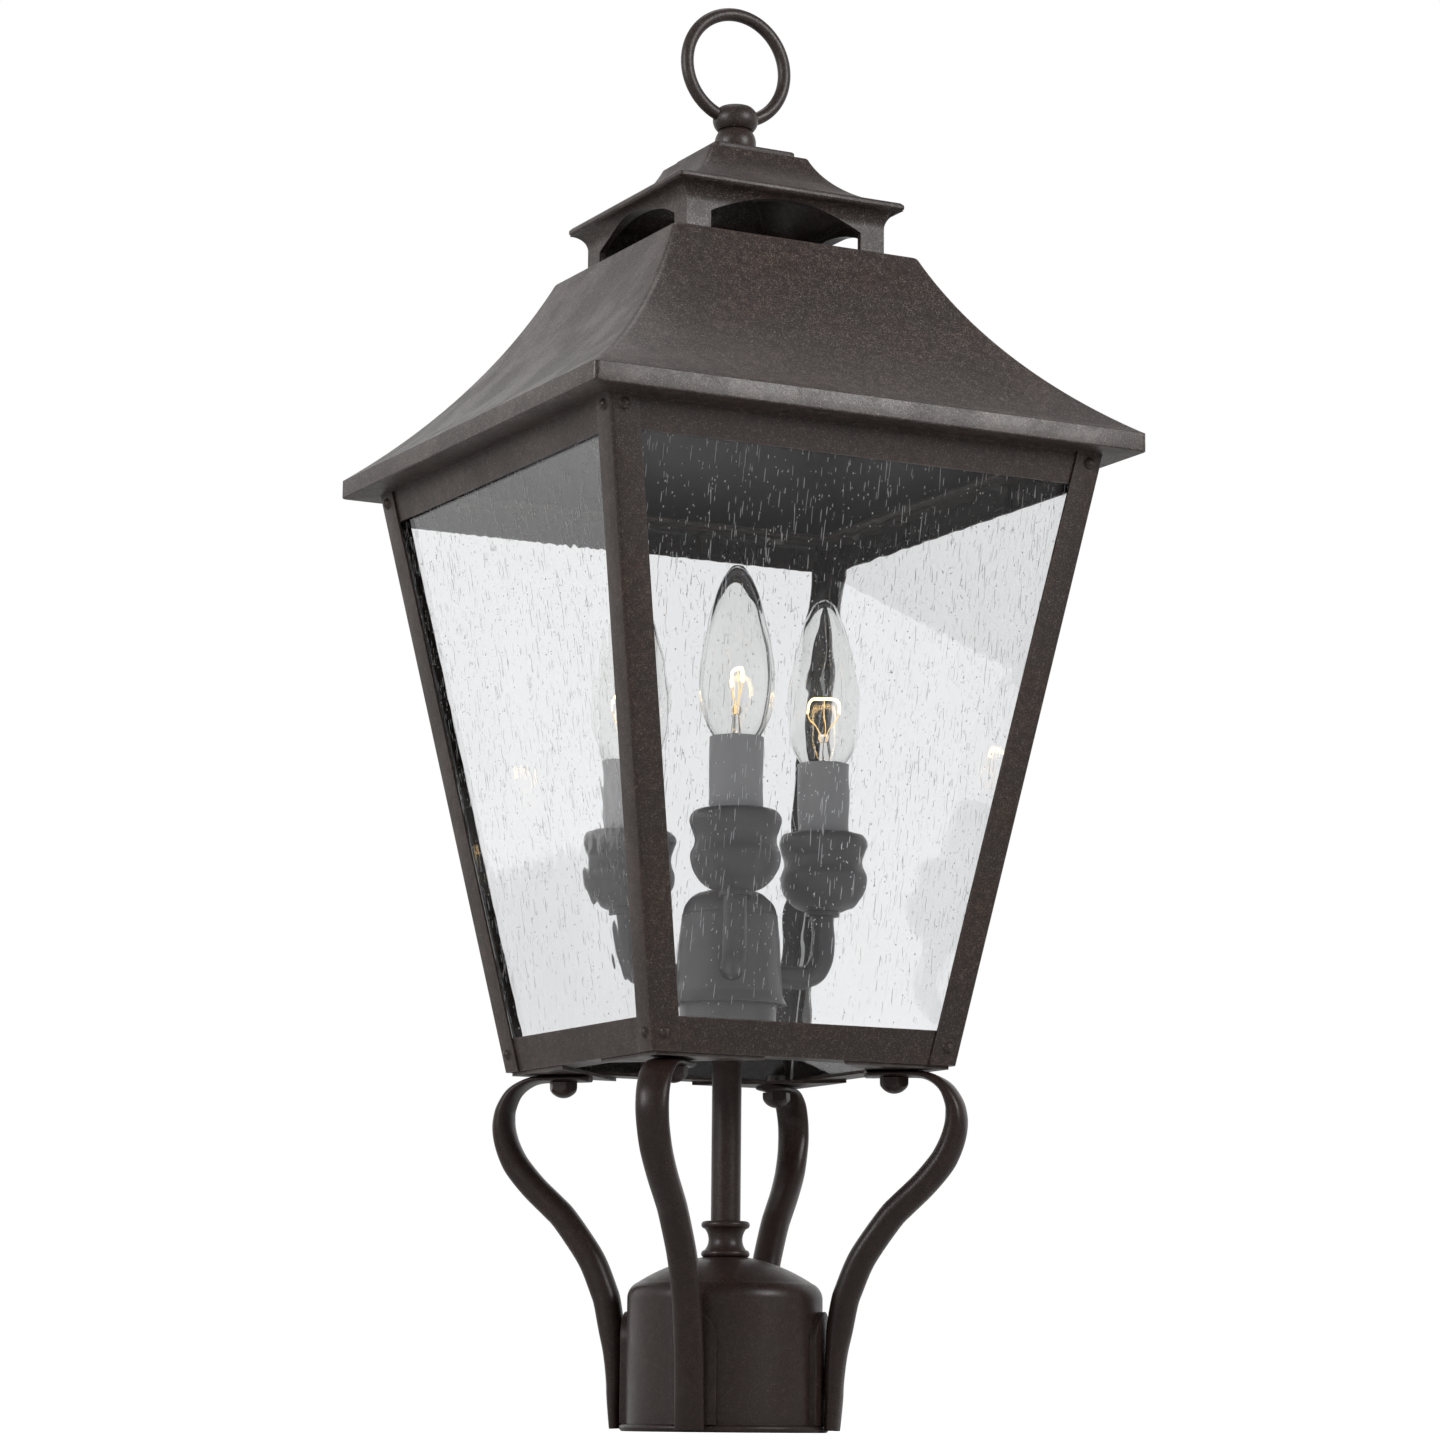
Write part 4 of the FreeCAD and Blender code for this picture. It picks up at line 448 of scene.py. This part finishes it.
def bulb_profile():
    """Torpedo glass: a smooth line up its outside, and another down its inside, which stops short of
    the tip, because the tip is drawn off as solid glass."""
    outside = through([
        (6.2, 287.3), (7.6, 289.6), (9.9, 293.2), (13.1, 298.8), (15.4, 307.0), (16.2, 318.3),
        (15.5, 328.0), (13.4, 338.5), (10.8, 349.5), (8.0, 358.0),
        (5.3, 363.5), (2.6, 367.2), (0.0, 368.1)], 60)
    inside = through([
        (0.0, 366.0), (2.1, 365.0), (4.5, 361.8), (6.9, 357.0), (9.8, 349.0), (12.55, 338.3),
        (14.65, 328.0), (15.4, 318.3), (14.6, 307.2), (12.4, 299.2), (9.2, 293.6),
        (7.0, 290.0), (5.4, 287.3)], 50)
    outside[-1], inside[0] = (0.0, 368.1), (0.0, 366.0)
    return np.vstack([outside, inside])


def lamp_place(index):
    """Where a light's own upright axis stands."""
    return LIGHT_REACH * math.cos(LIGHTS[index]), LIGHT_REACH * math.sin(LIGHTS[index])


def lamp_points(index, turn, points):
    """Points (along, across, z) of a lamp's inside, turned about the lamp's axis to an azimuth."""
    x, y = lamp_place(index)
    p = np.asarray(points, float)
    c, s = math.cos(math.radians(turn)), math.sin(math.radians(turn))
    return np.stack([x + p[:, 0] * c - p[:, 1] * s, y + p[:, 0] * s + p[:, 1] * c, p[:, 2]], -1)


def make_lamp(index, coats, turn, bridge):
    """One lamp's glass, mount, lead wires and coiled filament.

    The filament is a helix along its bent line: radius 0.46, one turn in 0.75."""
    name = "lamp_%d" % (index + 1)
    node = "lamp_filament_%d" % (index + 1)
    glass = turned("torpedo_glass_%d" % (index + 1), bulb_profile(), lamp_place(index), 64)
    stand_for(glass, "lamp_glass_%d" % (index + 1), name, coats["lamp_glass"])
    stem = eased([
        (0, 287.4, 0), (4.4, 287.4, 0.3), (3.6, 290.5, 2.0), (1.9, 295.0, 2.0),
        (1.6, 303.0, 0.6), (2.6, 304.4, 0.8), (2.2, 306.6, 0.8), (0, 307.0, 0)])
    mount = turned("lamp_mount_%d" % (index + 1), stem, lamp_place(index), 32)
    stand_for(mount, node, name, coats["lamp_glass"])
    left, right = bridge[0], bridge[-1]
    wires = []
    for tag, foot, head in (("a", -1.1, left), ("b", 1.1, right)):
        way = through([(foot, 0, 303.5), (foot * 1.6, 0, 308.0), (head[0] * 0.8, head[1], head[2] - 3.5),
                       (head[0], head[1], head[2] + 0.4)], 18)
        wires.append(pipe("lead_wire_%d_%s" % (index + 1, tag), lamp_points(index, turn, way), 0.3, 8))
    middle = bridge[len(bridge) // 2]
    under = (middle[0], middle[1] + 0.6, middle[2] - 0.6)
    prop = through([(0, 0.3, 305.5), (0.2, 1.0, 309.0), under], 12)
    wires.append(pipe("middle_wire_%d" % (index + 1), lamp_points(index, turn, prop), 0.2, 8))
    # The lead and middle wires get a painted glow: the filament's light on them, painted as their own
    # light.
    for wire in wires:
        stand_for(wire, node, name, coats["wire"])
    line = through(bridge, 900)
    length = np.concatenate([[0], np.cumsum(np.linalg.norm(np.diff(line, axis=0), axis=1))])
    ahead = np.gradient(line, axis=0)
    ahead /= np.linalg.norm(ahead, axis=1)[:, None]
    side = np.cross(ahead, (0.0, 1.0, 0.0))
    side /= np.linalg.norm(side, axis=1)[:, None]
    other = np.cross(ahead, side)
    spin = length * 2 * math.pi / 0.75
    coil = line + 0.46 * (np.cos(spin)[:, None] * side + np.sin(spin)[:, None] * other)
    hot = pipe("hot_coil_%d" % (index + 1), lamp_points(index, turn, coil), 0.24, 5)
    stand_for(hot, node, name, coats["hot"])


# ---------------------------------------------------------------- shader helpers

class Nodes:
    """Adds nodes to a tree and joins them, so that a material reads from top to bottom."""

    def __init__(self, tree):
        self.tree = tree

    def add(self, kind, inputs=None, **settings):
        """One node with its settings and its input values or links."""
        node = self.tree.nodes.new(kind)
        for key, value in settings.items():
            setattr(node, key, value)
        for key, value in (inputs or {}).items():
            if isinstance(value, bpy.types.NodeSocket):
                self.tree.links.new(value, node.inputs[key])
            else:
                node.inputs[key].default_value = value
        return node

    def math(self, operation, a, b=0.0, clamp=False):
        """One sum, product or other operation of two values."""
        return self.add("ShaderNodeMath", {0: a, 1: b}, operation=operation, use_clamp=clamp).outputs[0]

    def noise(self, where, scale, detail=2.0, rough=0.5, distortion=0.0):
        """Noise at a place."""
        return self.add("ShaderNodeTexNoise", {"Vector": where, "Scale": scale, "Detail": detail,
                                               "Roughness": rough, "Distortion": distortion}).outputs[0]

    def between(self, value, low, high, to_low=0.0, to_high=1.0):
        """A value carried from one range into another, smoothly and within it."""
        return self.add("ShaderNodeMapRange", {0: value, 1: low, 2: high, 3: to_low, 4: to_high},
                        interpolation_type="SMOOTHSTEP").outputs[0]

    def mix(self, factor, a, b):
        """Two colours mixed."""
        node = self.add("ShaderNodeMix", data_type="RGBA")
        for index, value in ((0, factor), (6, a), (7, b)):
            if isinstance(value, bpy.types.NodeSocket):
                self.tree.links.new(value, node.inputs[index])
            elif index:
                node.inputs[index].default_value = value
            else:
                node.inputs[0].default_value = value
        return node.outputs[2]


def material(name):
    """An empty material, its nodes cleared, and the helper that fills it."""
    made = bpy.data.materials.new(name)
    made.use_nodes = True
    made.node_tree.nodes.clear()
    return made, Nodes(made.node_tree)


def group(name, inputs, outputs):
    """An empty node group with named sockets: inputs are (name, kind, value), outputs (name, kind)."""
    tree = bpy.data.node_groups.new(name, "ShaderNodeTree")
    for label, kind, value in inputs:
        socket = tree.interface.new_socket(label, in_out="INPUT", socket_type=kind)
        if value is not None:
            socket.default_value = value
    for label, kind in outputs:
        tree.interface.new_socket(label, in_out="OUTPUT", socket_type=kind)
    nodes = Nodes(tree)
    return tree, nodes, nodes.add("NodeGroupInput").outputs, nodes.add("NodeGroupOutput").inputs


def rubbed_group():
    """Where a hand or a cloth wears a coat: near edges, where the normal rounded over a small radius
    leaves the face's own normal. Broken up by a fine noise. Mask is 1 on a rubbed edge."""
    tree, n, given, out = group("rubbed_edges", [
        ("Radius", "NodeSocketFloat", 0.0012),
        ("Amount", "NodeSocketFloat", 0.5),
    ], [("Mask", "NodeSocketFloat")])
    place = n.add("ShaderNodeTexCoord").outputs["Object"]
    rounded = n.add("ShaderNodeBevel", {"Radius": given["Radius"]}, samples=4).outputs[0]
    face = n.add("ShaderNodeNewGeometry").outputs["Normal"]
    along = n.add("ShaderNodeVectorMath", {0: rounded, 1: face}, operation="DOT_PRODUCT").outputs["Value"]
    edge = n.between(n.math("SUBTRACT", 1.0, along), 0.02, 0.22)
    broken = n.between(n.noise(place, 260.0, 3.0, 0.7), 0.36, 0.62, 0.15, 1.0)
    n.tree.links.new(n.math("MULTIPLY", n.math("MULTIPLY", edge, broken), given["Amount"], clamp=True),
                     out["Mask"])
    return tree


def patina_group():
    """Oil-rubbed bronze paint: broad warm clouds, fine mottling and pale dust specks.

    Cloud is noise about 30 mm across and Mottle about 5 mm; Speck is a fine grain whose tops are
    pale. Height is the orange-peel of the coat plus its grain."""
    tree, n, given, out = group("patina", [
        ("Dark", "NodeSocketColor", (0.021, 0.0135, 0.0115, 1)),
        ("Warm", "NodeSocketColor", (0.056, 0.029, 0.021, 1)),
        ("Pale", "NodeSocketColor", (0.17, 0.145, 0.13, 1)),
        ("Warmth", "NodeSocketFloat", 0.5),
        ("Specks", "NodeSocketFloat", 0.5),
        ("Rubbed", "NodeSocketFloat", 0.0),
        ("Smooth", "NodeSocketFloat", 0.0),
    ], [("Color", "NodeSocketColor"), ("Roughness", "NodeSocketFloat"), ("Height", "NodeSocketFloat")])
    place = n.add("ShaderNodeTexCoord").outputs["Object"]
    cloud = n.between(n.noise(place, 34.0, 4.0, 0.6, 0.4), 0.38, 0.64, 0.15, 1.0)
    mottle = n.between(n.noise(place, 300.0, 5.0, 0.75), 0.36, 0.66)
    fine = n.noise(place, 1500.0, 2.0, 0.6)
    grain = n.noise(place, 1700.0, 2.0, 0.6)
    warm = n.math("MULTIPLY", n.math("MULTIPLY", cloud, mottle), given["Warmth"], clamp=True)
    base = n.mix(warm, given["Dark"], given["Warm"])
    dust = n.math("MULTIPLY", n.between(grain, 0.48, 0.70), given["Specks"])
    dust = n.math("MULTIPLY", dust, n.between(mottle, 0.0, 1.0, 0.4, 1.0))
    pale = n.math("MAXIMUM", dust, given["Rubbed"])
    n.tree.links.new(n.mix(pale, base, given["Pale"]), out["Color"])
    rough = n.between(fine, 0.25, 0.75, 0.33, 0.47)
    rough = n.math("ADD", rough, n.between(cloud, 0.0, 1.0, 0.05, -0.03))
    n.tree.links.new(n.math("SUBTRACT", rough, given["Smooth"]), out["Roughness"])
    peel = n.math("MULTIPLY", n.noise(place, 620.0, 2.0, 0.5), 0.6)
    n.tree.links.new(n.math("ADD", peel, n.math("MULTIPLY", fine, 0.4)), out["Height"])
    return tree


def bronze(name, groups, gloss=0.25, wear=0.5, reach=0.0012, coat_height=0.4, **values):
    """The bronze paint: the patina group's colours on a half-gloss coat, rubbed along its edges."""
    made, n = material(name)
    rubbed = n.add("ShaderNodeGroup", node_tree=groups["rubbed"])
    rubbed.inputs["Radius"].default_value = reach
    rubbed.inputs["Amount"].default_value = wear
    coat = n.add("ShaderNodeGroup", {"Rubbed": rubbed.outputs["Mask"]}, node_tree=groups["patina"])
    for key, value in values.items():
        coat.inputs[key].default_value = value
    bump = n.add("ShaderNodeBump", {
        "Strength": coat_height, "Distance": 0.00012, "Height": coat.outputs["Height"]})
    shader = n.add("ShaderNodeBsdfPrincipled", {
        "Base Color": coat.outputs["Color"], "Roughness": coat.outputs["Roughness"],
        "Metallic": 0.0, "Specular IOR Level": gloss, "Normal": bump.outputs[0]})
    n.add("ShaderNodeOutputMaterial", {0: shader.outputs[0]})
    return made


def clear_material(name, tint, index, cloud=0.0, rough=0.0):
    """Plain clear glass, its body a little uneven in tint."""
    made, n = material(name)
    place = n.add("ShaderNodeTexCoord").outputs["Object"]
    uneven = n.between(n.noise(place, 14.0, 2.0, 0.5), 0.3, 0.7)
    deeper = tuple(c * (1.0 - cloud) for c in tint[:3]) + (1,)
    shader = n.add("ShaderNodeBsdfPrincipled", {
        "Base Color": n.mix(uneven, deeper, tint), "Roughness": rough, "IOR": index,
        "Transmission Weight": 1.0})
    n.add("ShaderNodeOutputMaterial", {0: shader.outputs[0]})
    return made


def plain_metal(name, colour, rough, metallic=1.0, fine=900.0):
    """Bare or plated metal, or moulding, with a faint unevenness in its colour and gloss."""
    made, n = material(name)
    place = n.add("ShaderNodeTexCoord").outputs["Object"]
    grain = n.noise(place, fine, 3.0, 0.6)
    dim = tuple(c * 0.72 for c in colour[:3]) + (1,)
    shader = n.add("ShaderNodeBsdfPrincipled", {
        "Base Color": n.mix(n.between(grain, 0.3, 0.7), dim, colour),
        "Roughness": n.between(grain, 0.2, 0.8, rough * 0.8, rough * 1.25), "Metallic": metallic})
    n.add("ShaderNodeOutputMaterial", {0: shader.outputs[0]})
    return made


def glow_material(name, colour, hot, strength):
    """A glowing wire: warm light, a little uneven along its coils. On the hot coil it is the lamp's own
    light; on the lead and middle wires it is a painted glow, for the filament's light on them.
    """
    made, n = material(name)
    place = n.add("ShaderNodeTexCoord").outputs["Object"]
    uneven = n.between(n.noise(place, 800.0, 1.0, 0.5), 0.3, 0.7)
    shader = n.add("ShaderNodeBsdfPrincipled", {
        "Base Color": (0.8, 0.5, 0.2, 1), "Roughness": 0.5,
        "Emission Color": n.mix(uneven, colour, hot), "Emission Strength": strength})
    n.add("ShaderNodeOutputMaterial", {0: shader.outputs[0]})
    return made


# ---------------------------------------------------------------- camera and studio

def make_camera():
    """The photograph's own view: turned 27.5 degrees off the front, from near the ground, tilted up."""
    heading = np.array([0.4561, 0.8754, 0.1601])
    heading /= np.linalg.norm(heading)
    level = np.cross(heading, (0, 0, 1))
    level /= np.linalg.norm(level)
    upward = np.cross(level, heading)
    roll = math.radians(0.538)
    right = level * math.cos(roll) + upward * math.sin(roll)
    up = -level * math.sin(roll) + upward * math.cos(roll)
    data = bpy.data.cameras.new("camera")
    data.sensor_width = 36.0
    data.lens = 36.0 * 4259.86 / 1440.0
    data.clip_start, data.clip_end = 0.05, 50.0
    camera = bpy.data.objects.new("camera", data)
    matrix = np.eye(4)
    matrix[:3, 0], matrix[:3, 1], matrix[:3, 2] = right, up, -heading
    matrix[:3, 3] = np.array([-857.3, -1635.8, 8.9]) * MM
    camera.matrix_world = Matrix(matrix.tolist())
    bpy.context.scene.collection.objects.link(camera)
    bpy.context.scene.camera = camera


def lamp(name, place, aim, size, power, spread=180.0):
    """One soft square studio lamp that faces the point aim, and that the camera doesn't see."""
    data = bpy.data.lights.new(name, "AREA")
    data.shape, data.size, data.energy, data.spread = "SQUARE", size, power, math.radians(spread)
    made = bpy.data.objects.new(name, data)
    towards = np.array(aim, float) - np.array(place, float)
    back = -towards / np.linalg.norm(towards)
    side = np.cross((0, 0, 1), back)
    side /= np.linalg.norm(side)
    matrix = np.eye(4)
    matrix[:3, 0], matrix[:3, 1], matrix[:3, 2], matrix[:3, 3] = side, np.cross(back, side), back, place
    made.matrix_world = Matrix(matrix.tolist())
    made.visible_camera = False
    made.visible_transmission = False
    bpy.context.scene.collection.objects.link(made)
    return made


def seen_strength(n, soft, inside, in_gloss, seen):
    """How bright a backdrop is: soft for soft light, inside for soft light that comes in through a
    pane, in_gloss off a gloss, seen by camera or glass.

    Light that has bounced off the lantern inside its panes counts as soft or gloss, as outside."""
    path = n.add("ShaderNodeLightPath").outputs
    through_glass = n.math("GREATER_THAN", path["Transmission Depth"], 0.5)
    soft = n.add("ShaderNodeMix", {0: through_glass, 2: soft, 3: inside}, data_type="FLOAT").outputs[0]
    mirrored = n.math("SUBTRACT", path["Is Glossy Ray"], path["Is Transmission Ray"], clamp=True)
    gloss = n.math("MAXIMUM", mirrored, n.math("GREATER_THAN", path["Glossy Depth"], 0.5))
    level = n.add("ShaderNodeMix", {0: gloss, 2: soft, 3: in_gloss}, data_type="FLOAT").outputs[0]
    straight = n.math("LESS_THAN", n.math("ADD", path["Diffuse Depth"], path["Glossy Depth"]), 0.5)
    looked = n.math("MAXIMUM", path["Is Camera Ray"], path["Is Transmission Ray"])
    clear = n.math("MULTIPLY", looked, straight)
    return n.add("ShaderNodeMix", {0: clear, 2: level, 3: seen}, data_type="FLOAT").outputs[0]


def make_studio():
    """Pale floor, a world that is white where it is seen, brightest behind the lantern, and lamps."""
    made, n = material("studio_floor")
    pale = n.add("ShaderNodeBsdfDiffuse", {0: (0.80, 0.80, 0.80, 1)})
    lift = n.add("ShaderNodeEmission", {0: (1, 1, 1, 1), 1: seen_strength(n, 0.0, 0.5, 0.06, 0.6)})
    both = n.add("ShaderNodeAddShader", {0: pale.outputs[0], 1: lift.outputs[0]})
    n.add("ShaderNodeOutputMaterial", {0: both.outputs[0]})
    floor = mesh_piece("floor", [(-9000, -9000, 0), (9000, -9000, 0), (9000, 9000, 0), (-9000, 9000, 0)],
                       [(0, 1, 2, 3)])
    floor.data.materials.append(made)
    world = bpy.data.worlds.new("studio")
    bpy.context.scene.world = world
    world.use_nodes = True
    world.node_tree.nodes.clear()
    n = Nodes(world.node_tree)
    way = n.add("ShaderNodeSeparateXYZ", {0: n.add("ShaderNodeTexCoord").outputs["Generated"]}).outputs
    backdrop = n.math("MULTIPLY", n.between(way["Y"], -0.55, 0.55, 0.36, 1.0),
                      n.between(way["Z"], 0.38, 0.75, 1.0, 0.32))
    shade = n.add("ShaderNodeBackground", {0: (1, 1, 1, 1), 1: seen_strength(n, 0.5, 1.0, backdrop, 1.0)})
    n.add("ShaderNodeOutputWorld", {0: shade.outputs[0]})
    lamp("lamp_front", (0.75, -1.45, 0.95), (0, 0, 0.45), 0.8, 2.3, 60.0)
    lamp("lamp_left", (-1.9, -0.2, 0.9), (0, 0, 0.35), 0.7, 2.2, 60.0)
    lamp("lamp_top", (0.2, 0.5, 2.2), (0, 0, 0.45), 0.9, 5)


def coat_for(name, coats):
    """The finish of a CAD node, by its name."""
    for start, coat in (
            ("glass_pane", "pane"), ("lamp_glass", "lamp_glass"), ("lamp_cap", "nickel"),
            ("lamp_filament", "wire"), ("lamp_holder", "moulded"), ("candle_sleeve", "sleeve"),
            ("stem_nuts", "steel"), ("roof_screws", "steel"), ("cupola_screws", "steel"),
            ("finial_nut", "steel"), ("glass_clips", "steel"), ("arm_bolts", "steel"),
            ("main_roof", "roof"), ("cupola", "cupola"), ("corner_post", "frame"),
            ("bottom_frame", "frame"), ("top_frame", "frame"), ("frame_rivets", "frame"),
            ("scroll_arm", "arm"), ("finial", "finial"), ("candle_cup", "inner"),
            ("light_arm", "inner"), ("hub", "hub")):
        if name.startswith(start):
            return coats[coat]
    return coats["cast"]


def main():
    """Everything, in the order it is looked at."""
    bpy.context.scene.view_settings.view_transform = "Standard"
    make_camera()
    make_studio()
    groups = {"rubbed": rubbed_group(), "patina": patina_group()}
    coats = {
        "roof": bronze("bronze_roof", groups, 0.48, 0.3, Warmth=0.75, Specks=1.0,
                       Pale=(0.195, 0.168, 0.152, 1)),
        # The roof's hollow: the same bronze as its outside, here a pale grey copy that paints in the light
        # on its underside.
        "roof_inside": bronze("bronze_roof_inside_painted_light", groups, 0.4, 0.0, coat_height=0.2,
                              Warmth=0.1, Specks=0.2, Dark=(0.105, 0.100, 0.103, 1),
                              Warm=(0.12, 0.11, 0.11, 1)),
        "cupola": bronze("bronze_cupola", groups, 0.35, 0.4, Warmth=0.5, Specks=0.9),
        "frame": bronze("bronze_frame", groups, 0.25, 0.5, Warmth=0.5, Specks=0.5,
                        Dark=(0.025, 0.0175, 0.015, 1), Warm=(0.062, 0.034, 0.024, 1)),
        "arm": bronze("bronze_arm", groups, 0.26, 0.03, Warmth=0.5, Specks=0.10, Smooth=0.07,
                      Dark=(0.017, 0.0098, 0.0082, 1), Warm=(0.034, 0.018, 0.013, 1)),
        "finial": bronze("bronze_finial", groups, 0.45, 0.05, Warmth=0.5, Specks=0.35),
        # Candle cups and light arms: the same bronze as outside, here a pale grey copy that paints in the
        # light they show behind the panes.
        "inner": bronze("bronze_inner_painted_light", groups, 0.5, 0.2, coat_height=0.1,
                        Warmth=0.1, Specks=0.0, Smooth=0.08, Dark=(0.080, 0.075, 0.077, 1),
                        Warm=(0.10, 0.09, 0.09, 1)),
        # Hub: the same bronze, here a pale grey copy that paints in the light it shows behind the panes.
        "hub": bronze("bronze_hub_painted_light", groups, 0.6, 0.3, coat_height=0.1,
                      Warmth=0.1, Specks=0.0, Smooth=0.05, Dark=(0.105, 0.100, 0.102, 1),
                      Warm=(0.12, 0.11, 0.11, 1)),
        "cast": bronze("bronze_cast", groups, 0.32, 0.25, Warmth=0.5, Specks=0.16, Smooth=0.05,
                       Dark=(0.0205, 0.0118, 0.0098, 1), Warm=(0.038, 0.0205, 0.0155, 1)),
        # Candle sleeves: a bronze made a pale grey, which paints in the light they show behind the panes.
        "sleeve": bronze("bronze_sleeve_painted_light", groups, 0.5, 0.2, coat_height=0.1, Warmth=0.1, Specks=0.0,
                         Dark=(0.250, 0.246, 0.252, 1), Warm=(0.27, 0.26, 0.26, 1),
                         Pale=(0.3, 0.29, 0.29, 1)),
        "pane": clear_material("seeded_glass", (0.945, 0.95, 0.955, 1), 1.45, 0.02),
        "seed": clear_material("glass_seed", (1.0, 1.0, 1.0, 1), 1.36, 0.03, 0.6),
        "lamp_glass": clear_material("lamp_glass", (0.97, 0.97, 0.965, 1), 1.47, 0.01),
        "nickel": plain_metal("nickel_cap", (0.62, 0.60, 0.56, 1), 0.3),
        "steel": plain_metal("dark_hardware", (0.20, 0.185, 0.17, 1), 0.42),
        "moulded": plain_metal("black_moulding", (0.02, 0.02, 0.02, 1), 0.55, metallic=0.0),
        # Lead and middle wires: a painted glow, standing for the filament's light that falls on them; they
        # are not hot.
        "wire": glow_material("painted_glow_wire", (0.8, 0.46, 0.14, 1), (1.0, 0.72, 0.32, 1), 1.3),
        "hot": glow_material("hot_coil", (1.0, 0.70, 0.28, 1), (1.0, 0.84, 0.46, 1), 7.0),
    }
    for name, node in NODES.items():
        node.data.materials.clear()
        node.data.materials.append(coat_for(name, coats))
    make_posts(coats["frame"])
    make_arms(coats["arm"])
    make_roof(coats["roof"], coats["roof_inside"])
    make_cap(coats["cupola"])
    for number, side in enumerate(SIDES):
        make_pane(side, coats["pane"], coats["seed"], 40 + number)
    bridge = [(-6.9, 0, 316.0), (-6.6, 0, 320.0), (-5.2, 0, 322.2), (0.0, 0, 322.7), (5.2, 0, 322.2),
              (6.6, 0, 320.0), (6.9, 0, 316.0)]
    for index, turn in enumerate((330.0, 150.0, 262.0)):
        make_lamp(index, coats, turn, bridge)


main()
